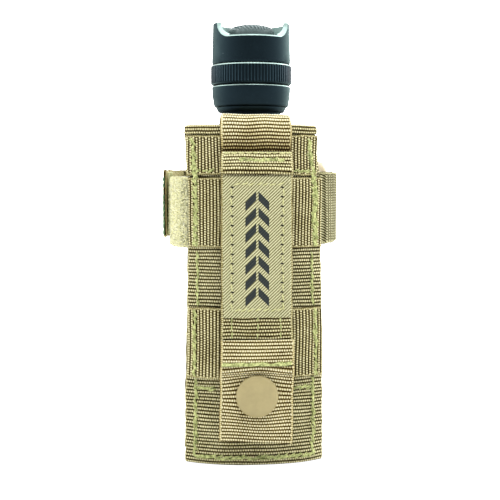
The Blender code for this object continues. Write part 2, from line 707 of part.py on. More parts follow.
def make_head():
    """Bezel, lens, reflector, emitter, heat sink and driver, front of the light downwards."""
    lip = LIGHT_BOTTOM + 1.5 * MM
    lens_top = lip + 2.5 * MM
    seal_top = lens_top + 1.1 * MM
    bezel_top = 9.6 * MM
    inner_lip = 12.6 * MM
    lens_seat = 13.9 * MM
    thread = 14.2 * MM
    ease = 0.7 * MM
    outline = [
        (HEAD_RADIUS, bezel_top),
        (HEAD_RADIUS, LIGHT_BOTTOM + ease),
        (HEAD_RADIUS - ease, LIGHT_BOTTOM),
        (inner_lip + ease, LIGHT_BOTTOM),
        (inner_lip, lip - ease),
        (inner_lip, lip),
        (lens_seat, lip),
        (lens_seat, lens_top),
        (thread + GAP, lens_top),
        (thread + GAP, bezel_top),
    ]
    bezel = turned("bezel_ring", outline, ANODISED)
    notches = 3
    for i in range(notches):
        angle = math.pi * i / notches
        reach = Vector((math.cos(angle), math.sin(angle), 0)) * (HEAD_RADIUS + MM)
        low = Vector((0, 0, LIGHT_BOTTOM - 2.6 * MM))
        cut(bezel, cutter_rod(f"bezel_notch_{i}", 3.8 * MM, low - reach, low + reach, 16))

    lens = [
        (0, lens_top - GAP),
        (lens_seat - GAP, lens_top - GAP),
        (lens_seat - GAP, lip + GAP),
        (0, lip + GAP),
    ]
    turned("lens", lens, GLASS)
    seal = [
        (lens_seat - GAP, seal_top - GAP),
        (lens_seat - GAP, lens_top),
        (inner_lip, lens_top),
        (inner_lip, seal_top - GAP),
    ]
    turned("lens_seal", seal, RUBBER, SMALL_STEPS)

    def parabola(z):
        return math.sqrt(4 * FOCAL_LENGTH * (FOCUS_Z - z))

    rim = seal_top
    foot = 26.3 * MM
    wall_thickness = 0.9 * MM
    heights = [rim + (foot - rim) * (i / 6) ** 0.7 for i in range(7)]
    bowl = [(parabola(z), z) for z in heights]
    shell = [(parabola(z) + wall_thickness, z) for z in reversed(heights)]
    turned("reflector", [*shell, *bowl], MIRROR, SMALL_STEPS)

    board_bottom = 26.9 * MM
    board_top = 28.4 * MM
    plate = [(0, board_top), (8 * MM, board_top), (8 * MM, board_bottom), (0, board_bottom)]
    turned("led_board", plate, CIRCUIT, SMALL_STEPS)
    dome = arc((0, board_bottom - GAP - 0.4 * MM), 1.7 * MM, 0, -90, 4)
    emitter = [
        (0, board_bottom - GAP),
        (2.2 * MM, board_bottom - GAP),
        (2.2 * MM, board_bottom - GAP - 0.4 * MM),
        *dome[:-1],
        (0, dome[-1][1]),
    ]
    turned("led_emitter", emitter, EMITTER, SMALL_STEPS)

    sink_bottom = board_top + GAP
    sink_top = 39.8 * MM
    sink_radius = 11 * MM
    floor = 4 * MM
    sink = [
        (sink_radius, sink_top),
        (sink_radius, sink_bottom),
        (2 * MM, sink_bottom),
        (2 * MM, sink_bottom + floor),
        (sink_radius - 1.5 * MM, sink_bottom + floor),
        (sink_radius - 1.5 * MM, sink_top),
    ]
    turned("heat_sink", sink, BRASS, SMALL_STEPS)
    driver_bottom = sink_top + GAP
    driver_top = driver_bottom + 1.4 * MM
    driver_radius = 10.3 * MM
    driver = [
        (0, driver_top),
        (driver_radius, driver_top),
        (driver_radius, driver_bottom),
        (0, driver_bottom),
    ]
    turned("driver_board", driver, CIRCUIT, SMALL_STEPS)
    coil("head_spring", 3.2 * MM, driver_top + GAP, CELL_BOTTOM - GAP, 6, 0.4 * MM)

    shell_top = TUBE_GRIP[0] - GAP
    bore = HEAD_THREAD_RADIUS + GAP
    cavity = 14 * MM
    taper_start = 30 * MM
    neck = 13.3 * MM
    taper = [
        (neck + (HEAD_RADIUS - neck) * math.sin(math.pi / 2 * t), 43 * MM + (taper_start - 43 * MM) * t)
        for t in (0, 0.15, 0.35, 0.6, 0.8, 1)
    ]
    groove_z = (13.5 * MM, 16.5 * MM)
    cavity_top = 28.2 * MM
    outline = [
        (neck, shell_top),
        *taper,
        (HEAD_RADIUS, groove_z[1] + 0.8 * MM),
        (HEAD_RADIUS - 0.8 * MM, groove_z[1]),
        (HEAD_RADIUS - 0.8 * MM, groove_z[0]),
        (HEAD_RADIUS, groove_z[0] - 0.8 * MM),
        (HEAD_RADIUS, bezel_top + GAP),
        (thread, bezel_top + GAP),
        (thread, seal_top),
        (cavity - 0.2 * MM, seal_top),
        (cavity - 0.2 * MM, cavity_top),
        (bore, cavity_top),
        (bore, shell_top),
    ]
    turned("head_shell", outline, ANODISED)


# ---------------------------------------------------------------- light: tail


def make_tail():
    """Tail cap in two shells round the selector ring, with the switch inside."""
    lip_top = 129.6 * MM
    inner = TAIL_THREAD_RADIUS + GAP
    bowl_foot = 13.7 * MM
    bowl_radius = CROWN_RADII[0]
    rise = SKIRT_TOP - 0.5 * MM - (lip_top + GAP)
    bowl = [
        (
            bowl_foot + (bowl_radius - bowl_foot) * math.sin(math.pi / 2 * t),
            lip_top + GAP + rise * t,
        )
        for t in (1, 0.7, 0.45, 0.2, 0)
    ]
    switch_floor = 137 * MM
    switch_bore = 11.5 * MM
    waist_top = 146.4 * MM
    skirt = [
        (WAIST_RADIUS, waist_top),
        (WAIST_RADIUS, SKIRT_TOP),
        (bowl_radius - 0.3 * MM, SKIRT_TOP),
        *bowl,
        (12.85 * MM, lip_top),
        (12.0 * MM, SKIRT_BOTTOM),
        (inner, SKIRT_BOTTOM),
        (inner, switch_floor - 1.2 * MM),
        (8 * MM, switch_floor - 1.2 * MM),
        (8 * MM, switch_floor),
        (switch_bore, switch_floor),
        (switch_bore, waist_top),
    ]
    turned("tail_skirt", skirt, ANODISED)

    make_selector_ring()
    make_crown(waist_top)

    module_top = 147.4 * MM
    module_bottom = switch_floor + GAP
    guide = 3.4 * MM
    module = [
        (0, module_top - 3.6 * MM),
        (guide, module_top - 3.6 * MM),
        (guide, module_top),
        (10.4 * MM, module_top),
        (10.4 * MM, module_bottom),
        (0, module_bottom),
    ]
    turned("switch_module", module, SWITCH_PLASTIC, SMALL_STEPS)

    flange_bottom = 148 * MM
    flange_top = 149.2 * MM
    retainer_top = 151.2 * MM
    retainer = [
        (11.9 * MM, retainer_top),
        (11.9 * MM, flange_top + GAP),
        (9.1 * MM, flange_top + GAP),
        (9.1 * MM, retainer_top),
    ]
    turned("boot_retainer", retainer, STEEL, SMALL_STEPS)

    skin = 1.2 * MM
    shoulder = BOOT_TOP - 2.6 * MM
    crown_edge = (5.9 * MM, BOOT_TOP - 0.9 * MM)
    boot = [
        (0, BOOT_TOP),
        (3.2 * MM, BOOT_TOP - 0.25 * MM),
        crown_edge,
        (BOOT_RADIUS, shoulder),
        (BOOT_RADIUS, flange_top),
        (11.6 * MM, flange_top),
        (11.6 * MM, flange_bottom),
        (BOOT_RADIUS - skin, flange_bottom),
        (BOOT_RADIUS - skin, shoulder - 0.3 * MM),
        (crown_edge[0] - 0.6 * MM, crown_edge[1] - skin),
        (0, BOOT_TOP - 1.5 * skin),
    ]
    turned("switch_boot", boot, RUBBER)
    plunger_top = BOOT_TOP - 1.5 * skin - GAP
    plunger_bottom = module_top - 1.2 * MM
    plunger = [
        (0, plunger_top),
        (3 * MM, plunger_top - 0.2 * MM),
        (3 * MM, plunger_bottom),
        (0, plunger_bottom),
    ]
    turned("switch_plunger", plunger, SWITCH_PLASTIC, SMALL_STEPS)
    spring_bottom = CELL_BOTTOM + 2 * (CELL_LENGTH + CELL_NUB + GAP)
    coil("tail_spring", 5 * MM, spring_bottom, switch_floor - GAP, 5, 0.45 * MM)


def make_selector_ring():
    """Ribbed mode ring, free to turn between the two shells."""
    inner = WAIST_RADIUS + GAP
    depth = 0.35 * MM
    low, high = RING_Z
    outer = RING_RADIUS
    count = RING_TEETH * 2
    rows = []
    for z in (low, high):
        rim = []
        hole = []
        for i in range(count):
            angle = 2 * math.pi * i / count
            radius = outer - (depth if i % 2 else 0)
            rim.append((radius * math.cos(angle), radius * math.sin(angle), z))
            hole.append((inner * math.cos(angle), inner * math.sin(angle), z))
        rows += [rim, hole]
    points = [p for row in rows for p in row]
    rim_low, hole_low, rim_high, hole_high = (n * count for n in range(4))
    faces = []
    for i in range(count):
        j = (i + 1) % count
        faces.append((rim_low + i, rim_low + j, rim_high + j, rim_high + i))
        faces.append((hole_low + j, hole_low + i, hole_high + i, hole_high + j))
        faces.append((rim_high + i, rim_high + j, hole_high + j, hole_high + i))
        faces.append((rim_low + j, rim_low + i, hole_low + i, hole_low + j))
    mesh = bpy.data.meshes.new("selector_ring")
    mesh.from_pydata(points, [], faces)
    add_object("selector_ring", mesh, ANODISED)


def make_crown(waist_top):
    """Crown of the tail cap, scooped on one side so that a thumb reaches the switch."""
    inner = 12.2 * MM
    ledge = 10.9 * MM
    ledge_z = (147 * MM, 147.7 * MM)
    foot, top = CROWN_RADII
    ease = 0.5 * MM
    outline = [
        (top - ease, CROWN_TOP),
        (top, CROWN_TOP - ease),
        (foot, CROWN_BOTTOM),
        (WAIST_RADIUS + GAP, CROWN_BOTTOM),
        (WAIST_RADIUS + GAP, waist_top + GAP),
        (ledge, ledge_z[0]),
        (ledge, ledge_z[1]),
        (inner, ledge_z[1]),
        (inner, CROWN_TOP),
    ]
    crown = turned("tail_crown", outline, ANODISED)

    half = SCOOP_HALF_WIDTH
    corner = SCOOP_CORNER
    ceiling = CROWN_TOP + 3 * MM
    floor = SCOOP_FLOOR
    right = arc((half - corner, floor + corner), corner, -90, 0, 5)
    left = arc((-half + corner, floor + corner), corner, 180, 270, 5)
    section = [*left, *right, (half, ceiling), (-half, ceiling)]
    reach = 20 * MM
    shape = bmesh.new()
    face = shape.faces.new([shape.verts.new((x, -reach, z)) for x, z in section])
    pulled = bmesh.ops.extrude_face_region(shape, geom=[face])["geom"]
    moved = [v for v in pulled if isinstance(v, bmesh.types.BMVert)]
    bmesh.ops.translate(shape, vec=(0, reach, 0), verts=moved)
    bmesh.ops.recalc_face_normals(shape, faces=shape.faces)
    mesh = bpy.data.meshes.new("scoop")
    shape.to_mesh(mesh)
    shape.free()
    cut(crown, place_cutter("scoop", mesh, (0, 0, 0)))


make_shell()
make_face_webbing()
make_top_loop()
make_strap()
make_side_snap()
make_cinch()
make_tube()
make_cells()
make_head()
make_tail()
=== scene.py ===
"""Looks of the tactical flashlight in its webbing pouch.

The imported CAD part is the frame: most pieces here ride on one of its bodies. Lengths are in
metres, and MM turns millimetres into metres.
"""

import math

import bmesh
import bpy
import numpy as np
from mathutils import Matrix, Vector


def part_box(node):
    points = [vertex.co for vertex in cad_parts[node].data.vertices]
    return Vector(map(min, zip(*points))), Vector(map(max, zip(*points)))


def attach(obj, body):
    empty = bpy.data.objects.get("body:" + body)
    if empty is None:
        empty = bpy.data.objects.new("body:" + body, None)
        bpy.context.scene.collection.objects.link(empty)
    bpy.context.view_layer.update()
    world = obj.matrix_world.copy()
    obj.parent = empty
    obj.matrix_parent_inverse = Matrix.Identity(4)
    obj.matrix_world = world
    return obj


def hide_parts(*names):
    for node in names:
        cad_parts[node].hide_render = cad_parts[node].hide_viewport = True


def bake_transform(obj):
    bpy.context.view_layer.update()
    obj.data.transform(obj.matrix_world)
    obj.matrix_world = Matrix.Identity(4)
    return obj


MM = 0.001
FULL_TURN = 2 * math.pi
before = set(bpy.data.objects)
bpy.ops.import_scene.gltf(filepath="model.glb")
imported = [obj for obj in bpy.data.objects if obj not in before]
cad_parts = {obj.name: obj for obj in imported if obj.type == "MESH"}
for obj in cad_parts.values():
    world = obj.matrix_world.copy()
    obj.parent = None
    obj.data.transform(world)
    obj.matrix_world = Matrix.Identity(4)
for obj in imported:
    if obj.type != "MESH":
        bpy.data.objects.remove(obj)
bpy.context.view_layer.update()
rng = np.random.default_rng(11)

# Bow of the pouch's panels, as the CAD has it: inner face at mid width, and its fall to the edge.
REACH = 17.6 * MM
BULGE = 6.5 * MM
BULGE_HALF = 24.2 * MM
BULGE_POWER = 2.5

RIB = 1.22 * MM
BEAD = 0.88 * MM
STRAP_WIDTH = 25.4 * MM


# ---------------- materials


def linear(red, green, blue):
    """An sRGB colour of 0 to 255 as linear RGBA."""
    share = [c / 255 for c in (red, green, blue)]
    return (*[s / 12.92 if s < 0.04045 else ((s + 0.055) / 1.055) ** 2.4 for s in share], 1)


def shaded(colour, share):
    """A linear RGBA colour darkened to that share."""
    return (*[c * share for c in colour[:3]], 1)


class Tree:
    """A node tree, with short calls for adding and joining nodes."""

    def __init__(self, tree):
        self.nodes, self.links = tree.nodes, tree.links

    def feed(self, socket, value):
        """Links an output to the socket, or sets a constant on it."""
        if isinstance(value, bpy.types.NodeSocket):
            self.links.new(value, socket)
        else:
            socket.default_value = value

    def add(self, kind, inputs=None, **settings):
        node = self.nodes.new("ShaderNode" + kind)
        for key, value in settings.items():
            setattr(node, key, value)
        for key, value in (inputs or {}).items():
            self.feed(node.inputs[key], value)
        return node

    def axes(self, space):
        """X, Y and Z of the point. Object space is the row frame, at rest."""
        point = self.add("TexCoord").outputs[space]
        return self.add("SeparateXYZ", {"Vector": point}).outputs

    def math(self, operation, first, *others):
        """The operation on one value, or on all of them in turn."""
        for other in others or (0.0,):
            first = self.add("Math", {0: first, 1: other}, operation=operation).outputs[0]
        return first


class Shader(Tree):
    """A material with a Principled surface."""

    def __init__(self, name, roughness, metallic=0.0):
        self.material = bpy.data.materials.new(name)
        self.material.use_nodes = True
        super().__init__(self.material.node_tree)
        self.surface = self.nodes["Principled BSDF"]
        self.set(Roughness=roughness, Metallic=metallic)

    def noise(self, scale, detail=3.0, roughness=0.6):
        point = self.add("TexCoord").outputs["Object"]
        inputs = {"Vector": point, "Scale": scale, "Detail": detail, "Roughness": roughness}
        return self.add("TexNoise", inputs).outputs["Fac"]

    def ramp(self, factor, stops):
        node = self.add("ValToRGB", {"Fac": factor})
        elements = node.color_ramp.elements
        while len(elements) < len(stops):
            elements.new(0.5)
        for element, (place, colour) in zip(elements, stops):
            element.position = place
            element.color = colour
        return node.outputs["Color"]

    def mix(self, factor, a, b):
        """Two colours mixed, by a Mix node's sockets for its factor and its colours."""
        return self.add("Mix", {0: factor, 6: a, 7: b}, data_type="RGBA").outputs[2]

    def bump(self, height, strength, distance):
        node = self.add("Bump", {"Height": height, "Strength": strength, "Distance": distance})
        self.set(Normal=node.outputs["Normal"])

    def set(self, **values):
        """Feeds the surface's own inputs, with _ for the spaces in their names."""
        for key, value in values.items():
            self.feed(self.surface.inputs[key.replace("_", " ")], value)


def woven(name, dark, middle, light):
    """Ribbed webbing: painted shade in the grooves, a painted highlight on the beads, and fibres
    that vary.
    """
    s = Shader(name, 0.88)
    # The relief attribute sets the colour: it carries the weave's painted shade and highlight.
    relief = s.add("Attribute", attribute_name="relief").outputs["Fac"]
    fibres = s.noise(2200, 4, 0.7)
    patches = s.noise(110, 3)
    fine = s.math("MULTIPLY", s.math("SUBTRACT", fibres, 0.5), 0.7)
    broad = s.math("MULTIPLY", s.math("SUBTRACT", patches, 0.5), 0.24)
    height = s.math("ADD", relief, fine, broad)
    # Dark stop for painted shade in the grooves, pale stop for a painted highlight on the beads.
    tones = (0.3, linear(*dark)), (0.62, linear(*middle)), (0.95, linear(*light))
    s.bump(fibres, 0.5, 0.00012)
    s.set(Base_Color=s.ramp(height, tones), Specular_IOR_Level=0.12)
    return s.material


def plain_cloth(name, dark, light, scale=2600, sheen=0.0):
    """Thread, pile and tape: one colour, with fibres."""
    s = Shader(name, 0.9)
    fibres = s.noise(scale, 4, 0.7)
    tones = (0.3, linear(*dark)), (0.7, linear(*light))
    s.bump(fibres, 0.5, 0.0001)
    s.set(Base_Color=s.ramp(fibres, tones), Specular_IOR_Level=0.15, Sheen_Weight=sheen)
    return s.material


def anodised(name, roughness):
    """Black hard-anodised aluminium: fine turned grain, and specks of dust."""
    s = Shader(name, roughness, 1.0)
    inputs = {"W": s.axes("Object")["Z"], "Scale": 9000.0, "Detail": 2.0}
    lines = s.add("TexNoise", inputs, noise_dimensions="1D").outputs["Fac"]
    dust, wear = s.noise(1500, 2, 0.5), s.noise(260, 4)
    tones = (0.74, linear(29, 41, 47)), (0.8, linear(84, 98, 100))
    rough = s.math("ADD", s.math("MULTIPLY", wear, 0.22), roughness - 0.1)
    s.bump(s.math("ADD", lines, s.math("MULTIPLY", wear, 0.5)), 0.12, 0.00004)
    s.set(Base_Color=s.ramp(dust, tones), Roughness=rough, Specular_Tint=(0.86, 1.0, 0.96, 1))
    return s.material


def moulded(name, colour, roughness, grain=700.0, coat=0.0):
    """Plastic, rubber or lacquer: slightly uneven in tone and surface."""
    s = Shader(name, roughness)
    noise = s.noise(grain, 4)
    full = linear(*colour)
    tones = (0.25, shaded(full, 0.82)), (0.75, full)
    s.bump(noise, 0.15, 0.00005)
    s.set(Base_Color=s.ramp(noise, tones), Coat_Weight=coat)
    return s.material


def metal(name, colour, roughness):
    """Bare metal, slightly uneven in tone."""
    s = Shader(name, roughness, 1.0)
    noise = s.noise(900, 4)
    s.bump(noise, 0.1, 0.00003)
    s.set(Base_Color=s.ramp(noise, [(0.3, shaded(colour, 0.75)), (0.7, colour)]))
    return s.material


def label_cloth(name, middle_z, half_width, marks):
    """Twill, with painted shade between its diagonal ridges, and a printed row of chevrons centred
    on middle_z.
    """
    s = Shader(name, 0.85)
    x, _, z = s.axes("Object")
    slope = s.math("SUBTRACT", z, s.math("MULTIPLY", x, 0.95))
    twill = s.math("SINE", s.math("MULTIPLY", slope, FULL_TURN / (1.12 * MM)))
    fibres = s.noise(3000, 4, 0.7)
    weave = s.math("ADD", s.math("MULTIPLY", twill, 0.5), fibres)
    # Darker between the twill's diagonal ridges: painted shade.
    tones = [(0.05, linear(98, 92, 52)), (0.5, linear(178, 175, 132)), (0.9, linear(214, 212, 172))]
    cloth = s.ramp(weave, tones)
    pitch = 5.6 * MM
    side = s.math("ABSOLUTE", x)
    rise = s.math("ADD", s.math("SUBTRACT", z, middle_z - marks * pitch / 2), side)
    bar = s.math("LESS_THAN", s.math("FRACT", s.math("DIVIDE", rise, pitch)), 0.56)
    first = s.math("GREATER_THAN", rise, 0.0)
    last = s.math("LESS_THAN", rise, marks * pitch)
    wide = s.math("LESS_THAN", side, half_width)
    gap = s.math("GREATER_THAN", side, 0.4 * MM)
    worn = s.math("GREATER_THAN", s.math("ADD", fibres, s.math("MULTIPLY", twill, 0.06)), 0.3)
    ink = s.mix(0.04, linear(34, 42, 48), cloth)
    mark = s.math("MULTIPLY", bar, wide, first, last, gap, worn)
    s.bump(weave, 0.6, 0.00018)
    s.set(Base_Color=s.mix(mark, cloth, ink), Specular_IOR_Level=0.15)
    return s.material


WEB = woven("webbing", (34, 22, 0), (148, 137, 86), (255, 249, 204))
WEB_PALE = woven("webbing_pale", (50, 34, 2), (192, 176, 118), (255, 252, 222))
PANEL = woven("panel_webbing", (32, 23, 2), (158, 149, 100), (255, 250, 208))
ELASTIC = woven("elastic", (34, 28, 6), (152, 148, 106), (244, 240, 198))
THREAD = plain_cloth("thread", (82, 92, 34), (238, 244, 172), 900)
LABEL_THREAD = plain_cloth("label_thread", (176, 176, 120), (228, 226, 172))
PILE = plain_cloth("loop_pile", (244, 240, 164), (255, 255, 220), 1400, 1.0)
HOOK = plain_cloth("hook_tape", (146, 152, 100), (236, 238, 192), 1500)
EDGE_THREAD = plain_cloth("edge_thread", (58, 96, 66), (122, 158, 118), 1200)
LABEL = label_cloth("label_twill", 0.0823, 4.2 * MM, 7)
# Near-black: painted shade for the needle holes in the label.
HOLE_SHADE = moulded("needle_hole_shade", (10, 7, 0), 0.95)
RESIN = moulded("snap_resin", (175, 161, 113), 0.5, 300)
GLOSS_RESIN = moulded("snap_gloss", (196, 180, 138), 0.2, 300, 0.5)
SNAP_METAL = metal("snap_brass", linear(150, 132, 92), 0.35)
BLACK = anodised("anodised_black", 0.48)
RING_BLACK = anodised("anodised_ring", 0.4)
RING_RIB = metal("ring_rib", linear(48, 66, 74), 0.45)
# Lighter than the anodising: painted light for the inner wall of the crown's bore.
CROWN_INSIDE_LIT = metal("crown_inside_painted_light", linear(104, 126, 122), 0.5)
RUBBER = moulded("boot_rubber", (106, 124, 124), 0.4, 900)
# Pale bare metal on up-facing chamfers: partly the metal's real edge, lightened as a painted
# highlight.
BARE_EDGE_HIGHLIGHT = metal("machined_edge_highlight", linear(160, 184, 178), 0.32)
SEAL = moulded("seal_rubber", (24, 26, 26), 0.6)
STEEL = metal("spring_steel", linear(190, 190, 188), 0.25)
BRASS = metal("heat_sink_brass", linear(196, 160, 92), 0.3)
CIRCUIT = moulded("circuit_board", (26, 84, 52), 0.4, 1200)
WRAP = moulded("cell_wrap", (150, 44, 30), 0.35, 400, 0.3)
STIFF = moulded("stiffener", (40, 40, 38), 0.6)
SWITCH = moulded("switch_plastic", (46, 46, 48), 0.5)


# ---------------------------------------------------------------- mesh helpers


def add_object(name, data):
    """A new object in the scene."""
    made = bpy.data.objects.new(name, data)
    bpy.context.scene.collection.objects.link(made)
    return made


def finish_piece(name, vertices, faces, material, body, stands_for=(), relief=None):
    """An object of the mesh, smooth shaded and facing out, joined to its body."""
    mesh = bpy.data.meshes.new(name)
    mesh.from_pydata(np.asarray(vertices).reshape(-1, 3).tolist(), [], faces)
    shape = bmesh.new()
    shape.from_mesh(mesh)
    bmesh.ops.recalc_face_normals(shape, faces=shape.faces)
    shape.to_mesh(mesh)
    shape.free()
    # The relief attribute colours webbing, with its painted shade and highlight.
    if relief is not None:
        attribute = mesh.attributes.new("relief", "FLOAT", "POINT")
        attribute.data.foreach_set("value", np.asarray(relief, np.float32).ravel())
    mesh.shade_smooth()
    mesh.materials.append(material)
    piece = add_object(name, mesh)
    if body:
        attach(piece, body)
    if stands_for:
        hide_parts(*stands_for)
    return piece


def lattice_faces(rows, columns, wrap_rows=False, cap=True):
    """Quads over rows of points that close round each row, and caps for the two end rows."""
    r = np.arange(rows if wrap_rows else rows - 1)[:, None]
    c = np.arange(columns)[None, :]
    after = (r + 1) % rows
    right = (c + 1) % columns
    corners = (r, c), (r, right), (after, right), (after, c)
    quads = np.stack([row * columns + column for row, column in corners], -1)
    faces = quads.reshape(-1, 4).tolist()
    if cap and not wrap_rows:
        faces.append(list(range(columns)))
        faces.append(list(range((rows - 1) * columns, rows * columns)))
    return faces


def around(count):
    """Angles of count equal steps round a circle."""
    return np.linspace(0, FULL_TURN, count, endpoint=False)


def tube_faces(rings, sides, start):
    """Faces of a capped tube whose points begin at start."""
    return [[v + start for v in face] for face in lattice_faces(rings, sides)]


def smooth_line(points, per=12):
    """Points on a Catmull-Rom curve through the given ones."""
    p = np.array(points, float)
    p = np.concatenate([[2 * p[0] - p[1]], p, [2 * p[-1] - p[-2]]])
    u = np.arange(per)[:, None] / per
    runs = []
    for a, b, c, d in zip(p, p[1:], p[2:], p[3:]):
        cubic = 2 * b + (c - a) * u + (2 * a - 5 * b + 4 * c - d) * u**2
        runs.append(0.5 * (cubic + (3 * b - a - 3 * c + d) * u**3))
    return np.concatenate([*runs, p[-2:-1]])


def track(points):
    """(function, length): the function gives points s along the path, moved d to its left."""
    points = np.asarray(points, float)
    arc = np.concatenate([[0], np.cumsum(np.linalg.norm(np.diff(points, axis=0), axis=1))])
    tangent = np.gradient(points, arc, axis=0)
    tangent /= np.linalg.norm(tangent, axis=1)[:, None]

    def at(s, d):
        a, b, ta, tb = (
            np.interp(s, arc, column)
            for column in (points[:, 0], points[:, 1], tangent[:, 0], tangent[:, 1])
        )
        size = np.hypot(ta, tb)
        return a - d * tb / size, b + d * ta / size

    return at, arc[-1]


def bow(x):
    """How far a panel falls back towards the pouch at x."""
    return BULGE * np.abs(x / BULGE_HALF) ** BULGE_POWER


def bow_path(side, half):
    """Plan of a panel's inner face, in the direction that has its outside on the left."""
    x = np.linspace(-half, half, 160) * side
    return np.stack([x, side * (REACH - bow(x))], -1)


def standing(points, bottom):
    """Place function of a sheet on edge: s along a path in plan, t up, d to its outside."""
    at, length = track(points)

    def place(s, t, d):
        x, y = at(s, d)
        return np.stack(np.broadcast_arrays(x, y, bottom + t), -1)

    return place, length


def narrowed(place, length, amount, bottom=0.0):
    """A plan sheet whose right end is drawn in by amount, from nothing at the given height."""

    def drawn(s, t, d):
        share = np.clip((t - bottom) / (15 * MM), 0, 1) if bottom else 1.0
        return place(s + (1 - s / length) * amount * share, t, d)

    return drawn


def turned_round(place):
    """The same sheet with its two directions swapped."""
    return lambda s, t, d: place(t, s, d)


def hanging(profile, bowed=False, centre=0.0, width=STRAP_WIDTH):
    """Place function of a strap: s up its (y, z) profile, t across X, d to its outside."""
    at, length = track(profile)

    def place(s, t, d):
        y, z = at(s, d)
        x = centre + width / 2 - t
        if bowed:
            y = y + bow(x)
        return np.stack(np.broadcast_arrays(x, y, z), -1)

    return place, length


def flat_strap(node, width=STRAP_WIDTH):
    """Place function and length of flat webbing that stands at the CAD node."""
    low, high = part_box(node)
    return hanging([(high.y, low.z), (high.y, high.z)], width=width)


def waves(size, count=5, longest=60 * MM, shortest=14 * MM):
    """A gentle random surface: a function of (s, t) within about plus or minus size."""
    angle = rng.uniform(0, FULL_TURN, count)
    length = rng.uniform(shortest, longest, count)
    phase = rng.uniform(0, FULL_TURN, count)

    def at(s, t):
        total = 0
        for a, w, p in zip(angle, length, phase):
            total = total + np.sin(FULL_TURN * (s * math.cos(a) + t * math.sin(a)) / w + p)
        return total * size / math.sqrt(count)

    return at


def ribs(s, t, rib=RIB, bead=BEAD):
    """Relief of webbing, 0 in the grooves to 1 on the beads. Ribs run across the webbing."""
    row = np.floor(s / rib)
    crest = np.abs(np.sin(math.pi * s / rib)) ** 0.9
    beads = np.abs(np.cos(math.pi * (t / bead + 0.5 * (row % 2)))) ** 0.8
    return crest * (0.3 + 0.7 * beads)


def herringbone(s, t):
    """Relief of woven elastic: fine zigzag ridges."""
    fold = 2.6 * MM
    zigzag = np.abs((s / fold) % 2 - 1) * fold
    ridge = 0.5 + 0.5 * np.sin(FULL_TURN * (t + zigzag * 0.5) / (0.95 * MM))
    return 0.15 + 0.85 * ridge * (0.75 + 0.25 * np.cos(FULL_TURN * s / fold))


def webbing(
    name, sheet, span, width, base, thick, material, body, stands_for=(),
    step=0.22 * MM, relief=0.42 * MM, pattern=ribs, wave=0.12 * MM, shape=None,
    selvage=0.9 * MM, push=None, back_tone=0.4, painted_shading=None,
):
    """A length of webbing with real relief on its outer side.

    sheet is a place function, span the (first, last) distance along it, and base the distance
    of the webbing's back from the sheet. shape(s, t) moves the webbing outwards, and push(s, t)
    says how far the weave is shifted along it. A selvage is the flat woven edge on each side.
    The relief also colours the cloth, as painted shade in its grooves and a painted highlight on
    its beads, darker at the rounded edges. The last argument, a function of (s, t), is added to
    that relief: painted light and shade along the webbing.
    """
    rows = max(int((span[1] - span[0]) / step), 2) + 1
    columns = max(int(width / step), 4) + 1
    s = np.linspace(*span, rows)[:, None]
    t = np.linspace(0, width, columns)[None, :]
    along = s - span[0] + waves(0.16 * MM, 6, 50 * MM, 9 * MM)(s, t)
    if push:
        along = along + push(s, t)
    height = pattern(along, t + waves(0.1 * MM)(s, t))
    if selvage:
        border = np.clip((selvage - np.minimum(t, width - t)) / (0.25 * MM), 0, 1)
        height = height + border * (0.72 + 0.2 * np.cos(FULL_TURN * along / (0.7 * MM)) - height)
    edge = np.minimum(t, width - t) / (0.9 * MM)
    rounding = np.sqrt(1 - (1 - np.clip(edge, 0, 1)) ** 2)
    ends = np.minimum(s - span[0], span[1] - s) / (0.6 * MM)
    ending = np.sqrt(1 - (1 - np.clip(ends, 0.05, 1)) ** 2)
    drift = waves(wave)(s, t)
    if shape:
        drift = drift + shape(s, t)
    front = base + drift + (thick - relief * (1 - height)) * (0.25 + 0.75 * rounding * ending)
    wander = waves(0.18 * MM, 6, 30 * MM, 3 * MM)(s, 0)
    side = (2 * t / width - 1) * wander
    back_t = np.array([[width * 0.985, width / 2, width * 0.015]])
    back = base + drift[:, [-1, columns // 2, 0]]
    all_s = s + np.zeros((1, columns + 3))
    all_t = np.concatenate([t + side, back_t + np.zeros((rows, 1))], 1)
    all_d = np.concatenate([front, back], 1)
    points = sheet(all_s, all_t, all_d)
    # Darker towards the rounded edges, where the webbing falls away: painted shade.
    shade = height * (0.4 + 0.6 * rounding)
    # Painted light and shade along the webbing, from the last argument.
    if painted_shading:
        shade = shade + painted_shading(s, t)
    shades = np.concatenate([shade, np.full((rows, 3), back_tone)], 1)
    faces = lattice_faces(rows, columns + 3)
    return finish_piece(name, points, faces, material, body, stands_for, shades)


